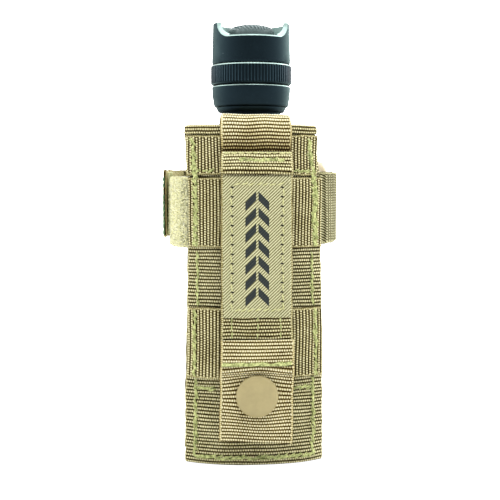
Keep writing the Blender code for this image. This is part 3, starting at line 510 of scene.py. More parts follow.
def seam(
    name, sheet, start, end, height, body, pitch, share, radius, passes=1, spread=0.0,
    slant=0.0, material=THREAD,
):
    """Rows of thread stitches from start to end, both (s, t) on a place function.

    share is the part of each pitch that its stitch covers, and passes the number of rows, which
    wander by spread. slant leans each stitch across the row.
    """
    rings, sides = 7, 6
    u, turn = np.linspace(0, 1, rings)[:, None], around(sides)[None, :]
    swell = np.sqrt(np.sin(math.pi * (0.08 + 0.84 * u)))
    girth = swell * (1 + 0.16 * np.cos(2 * turn + 9 * u))
    vertices, faces = [], []
    run = np.array(end) - np.array(start)
    length = np.linalg.norm(run)
    ahead = run / length
    aside = np.array([-ahead[1], ahead[0]])
    for _ in range(passes):
        count = max(int(length / pitch), 1)
        shift = rng.uniform(0, 0.5) * pitch if passes > 1 else 0.0
        for i in range(count):
            first = i * pitch + shift + rng.normal(0, 0.06) * pitch
            last = min(first + pitch * share * rng.uniform(0.9, 1.1), length)
            if last - first < 0.3 * pitch:
                continue
            sway = rng.normal(0, 0.12 * MM, 2) + rng.uniform(-spread, spread, 2)
            lean = slant * pitch
            a = np.array(start) + ahead * first + aside * (sway[0] - lean / 2)
            b = np.array(start) + ahead * last + aside * (sway[1] + lean / 2)
            thick = radius * rng.uniform(0.85, 1.15)
            middle = a + (b - a) * u
            across = thick * girth * np.cos(turn)
            lift = height + thick * (1.1 * np.sin(math.pi * u) - 0.55)
            lift = lift + thick * girth * np.sin(turn)
            s = middle[:, :1] + across * aside[0]
            t = middle[:, 1:] + across * aside[1]
            faces += tube_faces(rings, sides, len(vertices) * rings * sides)
            vertices.append(sheet(s, t, lift))
    points = np.concatenate([v.reshape(-1, 3) for v in vertices])
    finish_piece(name, points, faces, material, body)


def turned_points(radius, angle, z):
    """Points at each radius, angle and height."""
    return np.stack([radius * np.cos(angle), radius * np.sin(angle), z], -1)


def lathe(name, outline, material, body, stands_for=(), steps=128, reshape=None):
    """A turned piece on the Z axis. An outline that ends on the axis at both ends is solid.

    reshape(radius, angle, z) gives the final (radius, z) arrays.
    """
    outline = np.array(outline, float)
    solid = outline[0, 0] == 0 and outline[-1, 0] == 0
    rows = outline[1:-1] if solid else outline
    angle = around(steps)[None, :]
    radius = rows[:, :1] + 0 * angle
    z = rows[:, 1:] + 0 * angle
    if reshape:
        radius, z = reshape(radius, angle, z)
    faces = lattice_faces(len(rows), steps, wrap_rows=not solid, cap=False)
    points = turned_points(radius, angle, z).reshape(-1, 3)
    if solid:
        poles = [(0, 0, outline[0, 1]), (0, 0, outline[-1, 1])]
        top, low, last = len(points), len(points) + 1, len(points) - steps
        points = np.concatenate([points, poles])
        for i in range(steps):
            j = (i + 1) % steps
            faces.append([top, i, j])
            faces.append([low, last + j, last + i])
    piece = finish_piece(name, points, faces, material, body, stands_for)
    piece.data.set_sharp_from_angle(angle=math.radians(38))
    return piece


def millimetres(points):
    """Pairs of millimetres as pairs of metres."""
    return [(a * MM, b * MM) for a, b in points]


def rounded(outline, radius):
    """An outline of (r, z) points with its corners eased."""
    steps = 2
    points = [Vector(p) for p in outline]
    eased = []
    for i, p in enumerate(points):
        before, after = points[i - 1], points[(i + 1) % len(points)]
        if p.x == 0:
            eased.append(tuple(p))
            continue
        reach = min(radius, 0.45 * (before - p).length, 0.45 * (after - p).length)
        a = p + (before - p).normalized() * reach
        b = p + (after - p).normalized() * reach
        for k in range(steps + 1):
            u = k / steps
            eased.append(tuple(a * (1 - u) ** 2 + p * 2 * u * (1 - u) + b * u**2))
    return eased


# ---------------- pouch

NEAR_HALF = 25.0 * MM
STRIP_HALF = 23.8 * MM
TAB_WIDTH, TAB_MIDDLE = 26.3 * MM, 0.1 * MM
# How far the sewn edges are drawn in, by height: at -X and at +X.
DRAWN_AT = np.array([0, 25, 45, 65, 100, 112, 122]) * MM
DRAWN_LEFT = np.array([0.3, 0.5, 1.0, 1.4, 1.4, 0.8, 0.6]) * MM
DRAWN_RIGHT = np.array([0.2, 0.2, 0.3, 0.8, 0.8, 1.0, 0.7]) * MM


def drawn_in(place, extra=0.0):
    """The same sheet with its two edges drawn in, as the stitching pulls them."""

    def drawn(s, t, d):
        points = place(s, t, d)
        x, z = points[..., 0], points[..., 2]
        left, right = np.interp(z, DRAWN_AT, DRAWN_LEFT), np.interp(z, DRAWN_AT, DRAWN_RIGHT)
        amount = np.where(x < 0, left, right) + extra
        points[..., 0] = x * (1 - amount / NEAR_HALF)
        return points

    return drawn


near_plan, NEAR_LENGTH = standing(bow_path(-1, NEAR_HALF), 0)
near_plan = drawn_in(narrowed(near_plan, NEAR_LENGTH, 2.4 * MM, 100 * MM))
far_plan, FAR_LENGTH = standing(bow_path(1, NEAR_HALF), 0)
far_plan = drawn_in(far_plan, 0.5 * MM)
near_upright, far_upright = turned_round(near_plan), turned_round(far_plan)


def across_near(x):
    """Distance along the near panel's plan at which it has this x."""
    return NEAR_LENGTH / 2 - x * (NEAR_LENGTH / 2) / NEAR_HALF


def make_panels():
    """The near and far panels, and the gusset on each side."""
    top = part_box("near_panel")[1].z
    for name, sheet, length, step in (
        ("near_panel", near_upright, NEAR_LENGTH, 0.26 * MM),
        ("far_panel", far_upright, FAR_LENGTH, 0.4 * MM),
    ):
        webbing(
            name + "_webbing", sheet, (0.2 * MM, top), length, 0.2 * MM, 1.35 * MM,
            PANEL, "pouch", [name], step,
        )
    for name, side in (("left_gusset", -1), ("right_gusset", 1)):
        low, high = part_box(name)
        x, order = (low.x, 1) if side < 0 else (high.x, -1)
        plan, length = standing([(x, low.y), (x, high.y)][::order], 0)
        webbing(
            name + "_webbing", turned_round(plan), (0.2 * MM, high.z), length, -1.2 * MM, 1.25 * MM,
            PANEL, "pouch", [name], 0.4 * MM,
        )


def make_strips():
    """The three strips sewn across the strap side."""
    for name in ("upper_strip", "middle_strip", "lower_strip"):
        low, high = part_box(name)
        sheet, length = standing(bow_path(-1, STRIP_HALF), low.z)
        if name == "upper_strip":
            sheet = narrowed(sheet, length, 2 * MM)
        webbing(
            name + "_webbing", drawn_in(sheet), (0, length), high.z - low.z, 1.8 * MM, 1.45 * MM,
            WEB, "pouch", [name],
        )


def make_rims():
    """The folded hems: ribs along the rim, a rounded top and a loose lower edge."""
    for name, side in (("near_rim_band", -1), ("far_rim_band", 1)):
        low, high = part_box(name)
        plan, length = standing(bow_path(side, NEAR_HALF - 0.6 * MM), low.z)
        if side < 0:
            plan = narrowed(plan, length, 2.6 * MM)
        plan = drawn_in(plan, 0 if side < 0 else 0.6 * MM)
        tall = high.z - low.z

        def fold(s, t, tall=tall):
            over = np.clip((s - 0.45 * tall) / (0.55 * tall), 0, 1)
            return -1.5 * MM * over**2 + 0.35 * waves(0.5 * MM, 5, 30 * MM, 6 * MM)(s, t)

        webbing(
            name + "_webbing", turned_round(plan), (0, tall), length, 1.6 * MM, 1.7 * MM,
            WEB, "pouch", [name], wave=0.2 * MM, shape=fold, selvage=0,
        )
        inside = (-0.6 * MM, tall - 0.6 * MM)
        webbing(
            name + "_core", turned_round(plan), inside, length, 0.1 * MM, 1.4 * MM,
            PANEL, "pouch", wave=0, selvage=0, step=0.4 * MM,
        )


def painted_shading_along(places, tones):
    """Painted light and shade for a webbing, changing along it, from millimetres of s."""
    return lambda s, t: np.interp(s, np.array(places) * MM, tones) + 0 * t


def make_top_loop():
    """The loop of webbing over the rim, with painted shade where it tucks in under the anchor and
    painted light over its top.
    """
    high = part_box("top_loop")[1].z
    profile = [
        (-20.8, 107.8), (-21.7, 112), (-22.6, 117), (-22.7, 120.8), (-21.7, 124),
        (-19.5, 125.6), (-17.4, 124.2), (-16.8, 120.6), (-16.8, 113),
    ]
    drop = high - 126.4 * MM
    line = smooth_line([(y, z + drop) for y, z in millimetres(profile)], 6)
    sheet, length = hanging(line, bowed=True)
    webbing(
        "top_loop_webbing", sheet, (0, length), STRAP_WIDTH, -0.6 * MM, 1.35 * MM,
        WEB_PALE, "pouch", ["top_loop"], wave=0.16 * MM,
        # Painted shade at the loop's foot, under the anchor, and painted light over its top.
        painted_shading=painted_shading_along((5, 8, 14, 18), (-0.4, -0.14, 0, 0.14)),
    )


def make_strap():
    """The strap's two layers, its anchor, its label and the root of its tab."""
    for name, thick in (("strap_back", 1.25 * MM), ("strap_front", 1.3 * MM)):
        front, length = flat_strap(name)
        webbing(name + "_webbing", front, (0, length), STRAP_WIDTH, 0, thick, WEB, "strap", [name])
    fold, fold_length = make_anchor(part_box("strap_front")[0].y)
    label = make_label()
    for x in (-9 * MM, 0.2 * MM, 8.4 * MM):
        t = STRAP_WIDTH / 2 - x
        seam(
            f"strap_seam_{x / MM:.0f}", front, (1 * MM, t), (length - MM, t), 1.25 * MM,
            "strap", 3 * MM, 0.75, 0.22 * MM,
        )
    stitch_label(*label)
    seam(
        "anchor_stitch", fold, (5 * MM, 3.0 * MM), (5.2 * MM, STRAP_WIDTH - 5.2 * MM), 1.2 * MM,
        "pouch", 2.2 * MM, 0.95, 0.34 * MM, 5, 0.55 * MM, 0.25,
    )
    edge = fold_length - 0.35 * MM
    seam(
        "anchor_edge", fold, (edge, 0.4 * MM), (edge, STRAP_WIDTH - 0.4 * MM), 1.1 * MM,
        "pouch", 2.4 * MM, 0.92, 0.34 * MM, material=LABEL_THREAD,
    )
    make_tab_root()


def make_anchor(strap_y):
    """The folded end over the strap's top, curved from the strap's face out to the anchor's."""
    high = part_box("strap_anchor")[1]
    core, length = flat_strap("strap_anchor")
    webbing(
        "strap_anchor_core", core, (0, length - 0.3 * MM), STRAP_WIDTH, 0, 1.2 * MM,
        WEB, "pouch", step=0.4 * MM,
    )
    profile = [
        (strap_y - 0.05 * MM, 104.9 * MM), (strap_y, 106.3 * MM), (strap_y + 0.6 * MM, 107.9 * MM),
        (high.y - 1.1 * MM, 110 * MM), (high.y - 1.0 * MM, high.z),
    ]
    fold, length = hanging(smooth_line(profile, 8))
    anchor = webbing(
        "strap_anchor_webbing", fold, (0, length), STRAP_WIDTH, 0, 1.3 * MM, WEB, None,
        # Painted shade at the fold's foot, above the label, and painted light towards its top edge.
        painted_shading=painted_shading_along((0, 1, 6), (-0.2, 0, 0.1)),
    )
    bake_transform(anchor)
    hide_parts("strap_anchor")
    return fold, length


def make_label():
    """The flat twill patch: its place function, length and width."""
    low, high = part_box("label_patch")
    width = high.x - low.x
    patch, length = flat_strap("label_patch", width)

    def flat(s, t):
        return 0.5 + 0 * s * t

    webbing(
        "label", patch, (0, length), width, 0, 0.45 * MM,
        LABEL, "strap", ["label_patch"], 0.6 * MM, 0.0, flat, 0.05 * MM,
    )
    return patch, length, width


def stitch_label(patch, length, width):
    """Stitches round the label, with needle holes down its two long sides."""
    inset, stitch, proud = 2.9 * MM, 3.35 * MM, 0.52 * MM
    ends = []
    for name, t in (("left", width - inset), ("right", inset)):
        seam(
            f"label_stitch_{name}", patch, (inset, t), (length - inset, t), proud,
            "strap", stitch, 0.72, 0.24 * MM, slant=0.12, material=LABEL_THREAD,
        )
        count = int((length - 2 * inset) / stitch)
        inward = 0.35 * MM if t < width / 2 else -0.35 * MM
        ends += [(inset + (i + 0.86) * stitch, t + inward) for i in range(count)]
    needle_holes(patch, ends, proud)
    for name, s in (("lower", inset), ("upper", length - inset)):
        seam(
            f"label_stitch_{name}", patch, (s, inset), (s, width - inset), proud,
            "strap", 2.5 * MM, 0.9, 0.27 * MM, slant=0.3, material=LABEL_THREAD,
        )


def make_tab_root():
    """The tab's sewn end on the strap, with the stitching that holds it."""
    low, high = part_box("snap_tab_root")
    profile = [(high.y, low.z - 0.4 * MM), (high.y, high.z)]
    root, length = hanging(profile, centre=TAB_MIDDLE, width=TAB_WIDTH)
    webbing(
        "tab_root_webbing", root, (0, length), TAB_WIDTH, 0, 1.35 * MM,
        WEB_PALE, "strap", ["snap_tab_root"],
    )
    first, last = 0.7 * MM, TAB_WIDTH - 0.4 * MM
    seam(
        "tab_stitch", root, (0.5 * MM, first), (0.5 * MM, last), 1.35 * MM,
        "strap", 2.8 * MM, 1.15, 0.42 * MM, 5, 0.55 * MM, 0.25,
    )
    seam(
        "tab_stitch_edge", root, (-0.5 * MM, first), (-0.5 * MM, last), 1.2 * MM,
        "strap", 3.0 * MM, 1.1, 0.3 * MM, 1, 0.2 * MM, -0.2,
    )


def needle_holes(patch, places, height):
    """Small near-black plugs where a stitch goes down through the cloth: painted shade in its
    holes.
    """
    points, faces = [], []
    for s, t in places:
        ring = [(s + 0.27 * MM * math.sin(a), t + 0.6 * MM * math.cos(a)) for a in around(8)]
        faces += tube_faces(2, 8, len(points))
        points += [patch(a, b, height + 0.03 * MM) for a, b in ring]
        points += [patch(a, b, height - 0.2 * MM) for a, b in ring]
    finish_piece("label_hole_shade", points, faces, HOLE_SHADE, "strap")


def make_tab():
    """The snap tab, pressed in round its cap and loose at its end."""
    low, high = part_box("snap_tab")
    cap_low, cap_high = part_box("snap_cap")
    snap_z = (cap_low.z + cap_high.z) / 2
    cap_thick, side_thick = 1.9 * MM, 5 * MM
    pressed = cap_low.y + cap_thick + 0.3 * MM + 1.3 * MM
    outer = low.y + 1.3 * MM
    end = low.z - 1.2 * MM
    profile = [
        (pressed - 0.9 * MM, end), (pressed - 0.3 * MM, (end + snap_z) / 2 - 2 * MM),
        (pressed, snap_z - 7 * MM), (pressed, snap_z), (pressed, snap_z + 7 * MM),
        (outer + 0.2 * MM, high.z - 1.2 * MM), (outer, high.z),
    ]
    straight, length = hanging(smooth_line(profile, 8), centre=TAB_MIDDLE, width=TAB_WIDTH)

    def sheet(s, t, d):
        place = straight(s, t, d)
        loose = (1 - np.clip(s / length, 0, 1)) ** 1.5
        place[..., 2] -= 0.055 * place[..., 0] * loose
        place[..., 0] -= 0.5 * MM * loose
        return place

    def round_cap(s, t):
        up, aside = s - (snap_z - end), t - TAB_WIDTH / 2
        far = np.hypot(up, aside) / (9 * MM)
        return -0.34 * up * np.exp(-(far**2))

    tab = webbing(
        "snap_tab_webbing", sheet, (0, length + 0.3 * MM), TAB_WIDTH, 0, 1.35 * MM,
        WEB_PALE, None, wave=0.25 * MM, push=round_cap,
    )
    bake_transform(tab)
    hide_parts("snap_tab")
    place = (0, cap_low.y + cap_thick, snap_z)
    cap_disc("snap_cap_disc", place, (0, -1, 0), cap_thick, RESIN, "tab", "snap_cap")
    side_low, side_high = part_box("side_snap_cap")
    place = (side_high.x - side_thick, 0, (side_low.z + side_high.z) / 2)
    cap_disc("side_cap_disc", place, (1, 0, 0), side_thick, GLOSS_RESIN, "pouch", "side_snap_cap")


def cap_disc(name, place, normal, thick, material, body, node):
    """A snap's cap: a shallow dome with a rolled rim."""
    radius = 7.5 * MM
    shares = (
        (0, 1), (0.5, 0.985), (0.8, 0.93), (0.92, 0.82), (0.985, 0.6), (1, 0.35), (0.98, 0.1),
        (0.94, 0), (0, 0),
    )
    profile = [(radius * out, thick * up) for out, up in shares]
    piece = lathe(name, profile, material, None, steps=72)
    piece.rotation_euler = Vector(normal).to_track_quat("Z", "Y").to_euler()
    piece.location = place
    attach(piece, body)
    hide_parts(node)


def make_seams():
    """Seams down the two edges of the strap side, across it, and along its foot."""
    for name, x in (("left", -20.6 * MM), ("right", 20.4 * MM)):
        t = across_near(x)
        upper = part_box("middle_strip")[0].z
        low, high = (corner.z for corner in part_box("lower_strip"))
        inner = across_near(math.copysign(12.9 * MM, x))
        first, last = sorted((t, inner))
        # (name, first and last (height, across), height above the panel, passes, spread)
        rows = (
            ("lower", (2 * MM, t), (low, t), 1.55 * MM, 4, 0.7 * MM),
            ("strip", (low, t), (high, t), 3.2 * MM, 4, 0.7 * MM),
            ("middle", (high, t), (upper, t), 1.55 * MM, 3, 0.5 * MM),
            ("upper", (upper, t), (118 * MM, t), 3.2 * MM, 7, 1.2 * MM),
            ("foot_bar", (28 * MM, first), (28 * MM, last), 1.6 * MM, 4, 0.55 * MM),
            ("strip_bar", (106.2 * MM, first), (106.2 * MM, last), 3.2 * MM, 2, 0.3 * MM),
        )
        for label, start, end, height, passes, spread in rows:
            seam(
                f"{name}_seam_{label}", near_upright, start, end, height, "pouch",
                2.4 * MM, 0.95, 0.3 * MM, passes, spread, 0.3,
            )
    start, end = ((3 * MM, across_near(x)) for x in (21.5 * MM, -21.5 * MM))
    seam(
        "foot_seam", near_upright, start, end, 1.6 * MM, "pouch",
        2.6 * MM, 0.95, 0.34 * MM, 5, 0.7 * MM, 0.25,
    )


# ---------------- cinch


def upright_band(points, node):
    """Place function, length and height of a band on edge, from its plan in millimetres."""
    low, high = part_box(node)
    sheet, length = standing(smooth_line(millimetres(points)), low.z)
    return sheet, length, high.z - low.z


def make_elastic():
    """The elastic band, from the far side round the right to the near panel."""
    plan = [
        (-24.6, 16.6), (-18, 18), (-10, 19.7), (0, 20.15), (10, 19.6), (20, 17.2),
        (29.6, 14.8), (32.8, 10.3), (32.1, 4), (29.2, -4.5), (25.8, -11.4), (23.2, -12.5),
    ]
    sheet, length, tall = upright_band(plan, "elastic_band")
    webbing(
        "elastic_webbing", sheet, (0, length), tall, -0.65 * MM, 1.3 * MM,
        ELASTIC, "pouch", ["elastic_band"], 0.32 * MM, 0.22 * MM, herringbone,
    )


def make_cinch_tab():
    """The tab. Its sewn end laps over the elastic."""
    plan = [
        (-32.1, 3), (-31.8, 6), (-31.4, 9.6), (-30.8, 13.4), (-28.4, 16.1), (-25.2, 17.6),
        (-21.6, 18.9),
    ]
    sheet, length, tall = upright_band(plan, "cinch_tab")
    tab = webbing(
        "cinch_tab_webbing", sheet, (0, length), tall, -0.65 * MM, 1.3 * MM, WEB, None,
        back_tone=0.75,
    )
    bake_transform(tab)
    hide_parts("cinch_tab")
    for name, s in (("outer", length - MM), ("inner", length - 2.6 * MM)):
        seam(
            f"cinch_lap_stitch_{name}", sheet, (s, MM), (s, tall - MM), 0.6 * MM, "pouch",
            2.6 * MM, 0.85, 0.26 * MM,
        )
    seam(
        "cinch_tab_edge", sheet, (0.3 * MM, 0.6 * MM), (0.3 * MM, tall - 0.6 * MM), 0.2 * MM,
        "cinch", 2.2 * MM, 0.95, 0.34 * MM, 2, 0.15 * MM, material=EDGE_THREAD,
    )


def make_tapes():
    """Hook tape inside the tab, and loop tape on the pouch for it to grip."""
    plan = [(-30.6, 3.4), (-30.3, 6), (-29.9, 9.2), (-29.3, 11.2)]
    sheet, length, tall = upright_band(plan, "hook_tape")

    def stubs(s, t):
        pitch = 1.1 * MM
        return (np.cos(FULL_TURN * s / pitch) > 0.1) * (np.cos(FULL_TURN * t / pitch) > 0.1)

    webbing(
        "hook_tape_face", sheet, (0, length), tall, -0.55 * MM, 0.9 * MM,
        HOOK, "cinch", ["hook_tape"], 0.3 * MM, 0.4 * MM, stubs,
    )
    plan = [
        (-22.8, -12.4), (-25.4, -11.2), (-27.2, -5), (-28.4, 1), (-28.6, 6), (-28, 10.2),
    ]
    sheet, length, tall = upright_band(plan, "loop_tape")
    webbing(
        "loop_tape_back", sheet, (0, length), tall, -0.6 * MM, 0.9 * MM,
        PILE, "pouch", ["loop_tape"],
    )
    make_pile(sheet, length, tall)


def make_pile(sheet, length, width):
    """Small loose loops of thread on the loop tape."""
    count, height = 5200, 0.2 * MM
    rings, sides, thick = 5, 3, 0.12 * MM
    u, turn = np.linspace(0, 1, rings)[:, None], around(sides)[None, :]
    across = thick * np.cos(turn)
    vertices, faces = [], []
    for i in range(count):
        s = rng.uniform(0.3 * MM, length - 0.3 * MM)
        t = rng.uniform(0.2 * MM, width - 0.2 * MM)
        heading = rng.uniform(0, FULL_TURN)
        reach = rng.uniform(0.8, 1.8) * MM
        tall = rng.uniform(0.5, 1.5) * MM
        middle_s = s + reach * (u - 0.5) * math.cos(heading) - across * math.sin(heading)
        middle_t = t + reach * (u - 0.5) * math.sin(heading) + across * math.cos(heading)
        lift = height + tall * np.sin(math.pi * u) + thick * np.sin(turn)
        vertices.append(sheet(middle_s, middle_t, lift).reshape(-1, 3))
        faces += tube_faces(rings, sides, i * rings * sides)
    finish_piece("loop_tape_pile", np.concatenate(vertices), faces, PILE, "pouch")


# ---------------- light


def crown_height(radius, angle, inward=0.0):
    """Height of the crown's rim: level in the thumb scoop at -Y, and rising to the full wall.

    inward is 0 at the crown's outer edge and 1 at its bore, where the scoop is narrower.
    """
    floor = (154.8 + 0.5 * inward) * MM
    half, corner = (12.9 - 1.7 * inward) * MM, (3.6 + 1.2 * inward) * MM
    run = np.clip((np.abs(radius * np.cos(angle)) - (half - corner)) / corner, 0, 1)
    rise = np.where(np.sin(angle) > 0, 1, 1 - np.sqrt(1 - run**2))
    return floor + (160.2 * MM - floor) * rise


def make_crown():
    """Crown of the tail cap: pale bare metal on the up-facing edges round its thumb scoop as a
    painted highlight, and a lighter metal in its bore as painted light.
    """
    foot, top, inner = 14.5 * MM, 14.08 * MM, 12.2 * MM
    low, ease, steps = 145.3 * MM, 0.35 * MM, 360
    # Finer where the horns rise.
    turn = around(steps)
    angle = (turn - 0.16 * np.sin(2 * turn))[None, :]
    rows = [(foot - 0.3 * MM + 0 * angle, low + 0 * angle)]
    for share in (0.03, 0.3, 0.6, 0.85, 1):
        radius = foot + (top - foot) * share + 0 * angle
        ceiling = crown_height(radius, angle) - ease
        rows.append((radius, low + 0.25 * MM + (ceiling - low - 0.25 * MM) * share))
    # Over the rim: (share of the way in, drop below the rim's line).
    for share, drop in ((0.06, 0.3), (0.16, 0.02), (0.5, 0), (0.84, 0.0), (0.94, 0.2), (1, 0.6)):
        radius = top + (inner - top) * share + 0 * angle
        rows.append((radius, crown_height(radius, angle, share) - drop * MM))
    bore = ((12.2, 147.7), (10.9, 147.7), (10.9, 147.0), (13.2, 146.7), (13.2, 145.3))
    rows += [(radius + 0 * angle, z + 0 * angle) for radius, z in millimetres(bore)]
    radius, z = (np.concatenate(part) for part in zip(*rows))
    points = turned_points(radius, angle, z)
    faces = lattice_faces(len(points), steps, wrap_rows=True)
    crown = finish_piece(
        "tail_crown_turned", points, faces, BLACK, "tail_cap", ["tail_crown"]
    )
    crown.data.set_sharp_from_angle(angle=math.radians(30))

    # Up-facing faces of the rim, given the pale edge metal: a painted highlight.
    def lip(centre, normal):
        corner = centre.y < 0 and 8.6 * MM < abs(centre.x) < 13.4 * MM
        reach = (12.7 if corner else 13.6) * MM
        return centre.z > 150 * MM and math.hypot(centre.x, centre.y) > reach and normal.z > 0.15

    # The bore's inner wall, given a lighter metal: painted light.
    def inside(centre, _normal):
        return centre.z > 148 * MM and math.hypot(centre.x, centre.y) < 12.4 * MM

    bright_edge(crown, lip)
    bright_edge(crown, inside, CROWN_INSIDE_LIT)


def bright_edge(piece, chosen, material=BARE_EDGE_HIGHLIGHT):
    """Another material on the faces that chosen(centre, normal) picks: by default pale bare metal,
    a painted highlight on up-facing edges.
    """
    piece.data.materials.append(material)
    for face in piece.data.polygons:
        if chosen(face.center, face.normal):
            face.material_index = len(piece.data.materials) - 1


def make_ring():
    """The selector ring: straight ribs between two plain edges, the upper one's up-facing chamfer
    in pale bare metal as a painted highlight.
    """
    low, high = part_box("selector_ring")
    outer, inner = 14.9 * MM, 13.2 * MM
    count, depth, ease = 80, 0.34 * MM, 0.42 * MM
    outline = [
        (inner, high.z), (outer - ease, high.z), (outer - 0.05 * MM, high.z - ease),
        (outer, high.z - 1.6 * ease), (outer, low.z + 1.6 * ease),
        (outer - 0.05 * MM, low.z + ease), (outer - ease, low.z), (inner, low.z),
    ]

    def knurl(radius, angle, z):
        cut = np.clip(0.5 + 1.2 * np.cos(angle * count), 0, 1)
        return radius - depth * (1 - cut) * (radius > outer - 0.02 * MM), z

    ring = lathe(
        "selector_ring_knurled", outline, RING_BLACK, "selector", ["selector_ring"],
        count * 6, knurl,
    )
    # Pale bare metal on the ring's up-facing top chamfer: a painted highlight.
    bright_edge(ring, lambda centre, normal: 0.3 < normal.z < 0.95 and centre.z > high.z - MM)

    def rib_top(centre, _normal):
        tall = low.z + MM < centre.z < high.z - MM
        return tall and math.hypot(centre.x, centre.y) > outer - 0.07 * MM

    bright_edge(ring, rib_top, RING_RIB)


def make_skirt():
    """Bowl-shaped skirt of the tail cap."""
    down = np.linspace(1, 0, 10)
    bowl = [(13.7 + 0.8 * math.sin(math.pi / 2 * u), 129.9 + 7.0 * u) for u in down]
    outline = [
        (12.9, 146.4), (12.9, 137.4), (14.2, 137.4), *bowl, (13.1, 129.6), (12.85, 129.5),
        (12.75, 128.9), (12, 127.7), (10.9, 127.7), (10.9, 135.8), (8, 135.8), (8, 137),
        (11.5, 137), (11.5, 146.4),
    ]
    skirt = lathe(
        "tail_skirt_turned", rounded(millimetres(outline), 0.25 * MM), BLACK, "tail_cap",
        ["tail_skirt"], 160,
    )
    # Pale bare metal on the lip's up-facing chamfer: a painted highlight.
    bright_edge(skirt, lambda c, n: 136.8 * MM < c.z < 137.38 * MM and 0.2 < n.z < 0.97)


def make_boot():
    """Switch boot: a short plain side, and a low dome with raised diagonal teeth."""
    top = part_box("switch_boot")[1].z
    radius, shoulder = 8.4 * MM, 157.2 * MM
    dome = [(0, top)]
    for a in np.linspace(math.pi / 2, 0, 40)[1:]:
        dome.append((radius * math.cos(a) ** 0.9, shoulder + (top - shoulder) * math.sin(a) ** 0.9))
    side = [(8.4, 155.3), (7.9, 154.6), (7.9, 149.2), (11.6, 149.2), (11.6, 148), (7.3, 148)]
    inside = [(7.3 * MM, top - 3.6 * MM), (5.6 * MM, top - 2.4 * MM), (0, top - 2.1 * MM)]
    outline = dome + millimetres(side) + inside

    def teeth(r, angle, z):
        across = r * np.cos(angle - math.radians(24))
        groove = 0.5 - 0.5 * np.sign(np.sin(FULL_TURN * across / (1.2 * MM)) + 0.1)
        raised = np.clip((z - shoulder - 0.1 * MM) / (0.3 * MM), 0, 1)
        depth = 0.5 * MM * groove * raised
        return r - depth * 0.5 * (r > 3 * MM), z - depth

    boot = lathe("switch_boot_ribbed", outline, RUBBER, None, (), 240, teeth)
    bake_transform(boot)
    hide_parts("switch_boot")


def make_barrel():
    """Body tube with a diamond knurl cut between its two end bands."""
    outline = [
        (10.6, 134.5), (10.6, 129.9), (9.8, 129.9), (9.8, 128.4), (10.6, 128.4), (10.6, 127.3),
        (11.05, 127.3), (11.05, 118.4), (12.1, 117.6), (12.7, 117), (12.7, 113), (12.3, 112.6),
        (12.3, 111.4), (12.7, 111), (12.7, 53), (12.3, 52.6), (12.3, 51.4), (12.7, 51),
        (12.7, 47.3), (12.4, 47), (11.1, 47), (11.1, 46.7), (10, 46.7), (10, 45.2),
        (11.1, 45.2), (11.1, 43.2), (9, 43.2), (9, 134.5),
    ]
    radius, high, low = 12.7 * MM, 109.5 * MM, 54.5 * MM
    count, depth = 56, 0.32 * MM
    pitch = FULL_TURN * radius / count
    eased = rounded(millimetres(outline), 0.2 * MM)
    cut = next(i for i, (r, z) in enumerate(eased) if r > 12.6 * MM and z < low)
    grip = [(radius, z) for z in np.linspace(high, low, 138)]

    def knurl(r, angle, z):
        up = np.abs(np.sin((count * angle + FULL_TURN * z / pitch) / 2))
        down = np.abs(np.sin((count * angle - FULL_TURN * z / pitch) / 2))
        inside = (z < high - 0.1 * MM) & (z > low + 0.1 * MM) & (r > radius - 0.01 * MM)
        return r - depth * (1 - np.minimum(up, down)) * inside, z

    lathe(
        "body_tube_turned", eased[:cut] + grip + eased[cut:], BLACK, "light", ["body_tube"],
        count * 5, knurl,
    )


def make_head():
    """Head shell, with three grooves turned round it."""
    outline = [
        (13.3, 46.7), (13.35, 43.4), (13.9, 41.4), (14.7, 37.8), (15.3, 33.6), (15.5, 30),
        (15.5, 26.4), (15, 26), (15, 24.8), (15.5, 24.4), (15.5, 22.4), (15, 22),
        (15, 20.8), (15.5, 20.4), (15.5, 17.3), (14.8, 16.6), (14.8, 13.4), (15.5, 12.7),
        (15.5, 9.9), (14.2, 9.9), (14.2, 7), (13.8, 7), (13.8, 28.2), (11.4, 28.2),
        (11.4, 46.7),
    ]
    lathe(
        "head_shell_turned", rounded(millimetres(outline), 0.25 * MM), BLACK, "light",
        ["head_shell"], 144,
    )


def dress_cad():
    """Better materials for the CAD nodes whose shape is right."""
    glass = Shader("lens_glass", 0.02)
    glass.set(Base_Color=(0.93, 0.97, 0.96, 1), Transmission_Weight=1.0, IOR=1.5, Coat_Weight=0.4)
    glass.bump(glass.noise(300, 2), 0.02, 0.00002)
    finishes = (
        (STIFF, "base_panel strap_stiffener"),
        (SNAP_METAL, "snap_stud snap_post snap_socket side_snap_washer"),
        (BLACK, "bezel_ring"),
        (SEAL, "lens_seal head_o_ring tail_o_ring"),
        (CIRCUIT, "led_board driver_board"),
        (BRASS, "heat_sink"),
        (STEEL, "head_spring tail_spring boot_retainer"),
        (WRAP, "front_cell rear_cell"),
        (SWITCH, "switch_module switch_plunger"),
        (glass.material, "lens"),
        (metal("reflector_mirror", (0.93, 0.93, 0.93, 1), 0.06), "reflector"),
        (moulded("emitter_phosphor", (236, 214, 92), 0.3, 2000, 0.6), "led_emitter"),
    )
    for material, nodes in finishes:
        for node in nodes.split():
            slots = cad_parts[node].data.materials
            slots.clear()
            slots.append(material)


# ---------------- studio


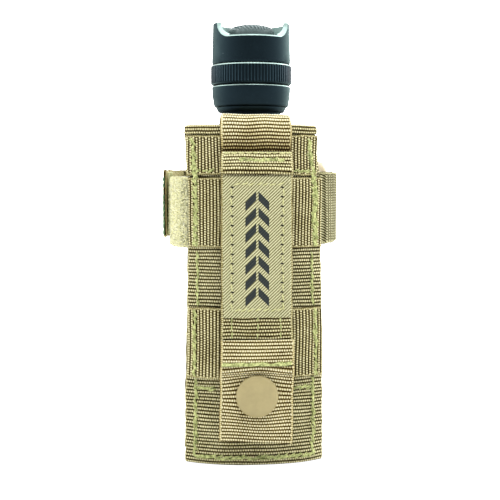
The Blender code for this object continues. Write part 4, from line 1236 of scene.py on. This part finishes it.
def make_floor():
    """Plain paper, white to the camera."""
    half = 6
    mesh = bpy.data.meshes.new("studio_floor")
    corners = [(-half, -half, 0), (half, -half, 0), (half, half, 0), (-half, half, 0)]
    mesh.from_pydata(corners, [], [(0, 1, 2, 3)])
    floor = add_object("studio_floor", mesh)
    paper = Shader("floor_paper", 0.9)
    seen = paper.add("LightPath").outputs["Is Camera Ray"]
    paper.set(Base_Color=(0.7, 0.7, 0.7, 1), Emission_Color=(1, 1, 1, 1), Emission_Strength=seen)
    mesh.materials.append(paper.material)


def make_tent():
    """A light tent: brighter behind, above and at the sides, and white to the camera."""
    world = bpy.data.worlds.new("studio_world")
    bpy.context.scene.world = world
    world.use_nodes = True
    tent = Tree(world.node_tree)
    across, back, up = tent.axes("Generated")

    def rise(value, low, high, gain):
        """0 below low and gain above high, with a smooth step between."""
        inputs = {"Value": value, "From Min": low, "From Max": high, "To Min": 0.0, "To Max": gain}
        return tent.add("MapRange", inputs, interpolation_type="SMOOTHSTEP").outputs["Result"]

    broad = rise(back, -0.55, 0.3, 1.27), rise(up, 0.4, 0.85, 1.5), rise(across, -1.0, 1.0, 0.15)
    sides = rise(tent.math("ABSOLUTE", across), 0.5, 0.95, 1.0)
    # Light from behind on both sides, more of it at the right, pales the metal's edges.
    aside = tent.math("ABSOLUTE", tent.math("ADD", across, 0.15))
    edges = tent.math("MULTIPLY", rise(back, 0.15, 0.55, 3.0), rise(aside, 0.45, 0.75, 1.0))
    glow = tent.math("ADD", *broad, sides, edges, 0.2)
    seen = tent.add("LightPath").outputs["Is Camera Ray"]
    strength = tent.math("MAXIMUM", tent.math("MULTIPLY", seen, 100.0), glow)
    strength = tent.add("Clamp", {"Value": strength, "Min": 0.0, "Max": 7.0}).outputs["Result"]
    background = tent.nodes["Background"].inputs
    tent.feed(background["Color"], (1, 1, 1, 1))
    tent.feed(background["Strength"], strength)


def make_lamp():
    """A soft lamp high in front."""
    place, target = Vector((0.1, -0.5, 1.1)), Vector((0, 0, 0.08))
    data = bpy.data.lights.new("top_light", "AREA")
    data.shape = "RECTANGLE"
    data.size, data.size_y = 0.5, 0.4
    data.energy = 2.2
    lamp = add_object("top_light", data)
    lamp.location = place
    lamp.rotation_euler = (target - place).to_track_quat("-Z", "Y").to_euler()


def make_camera():
    """The photograph's view, from a little to the left and slightly above."""
    data = bpy.data.cameras.new("photo_camera")
    data.lens, data.sensor_width = 80.3, 36
    data.clip_start = 0.01
    camera = add_object("photo_camera", data)
    camera.location = (-0.0354, -0.414, 0.104)
    camera.rotation_euler = (math.radians(90 - 3.74), 0, math.radians(-4.83))
    bpy.context.scene.camera = camera
    bpy.context.scene.view_settings.view_transform = "Standard"


make_panels()
make_strips()
make_rims()
make_top_loop()
make_strap()
make_tab()
make_seams()
make_elastic()
make_cinch_tab()
make_tapes()
make_crown()
make_ring()
make_skirt()
make_boot()
make_barrel()
make_head()
dress_cad()
make_floor()
make_tent()
make_lamp()
make_camera()
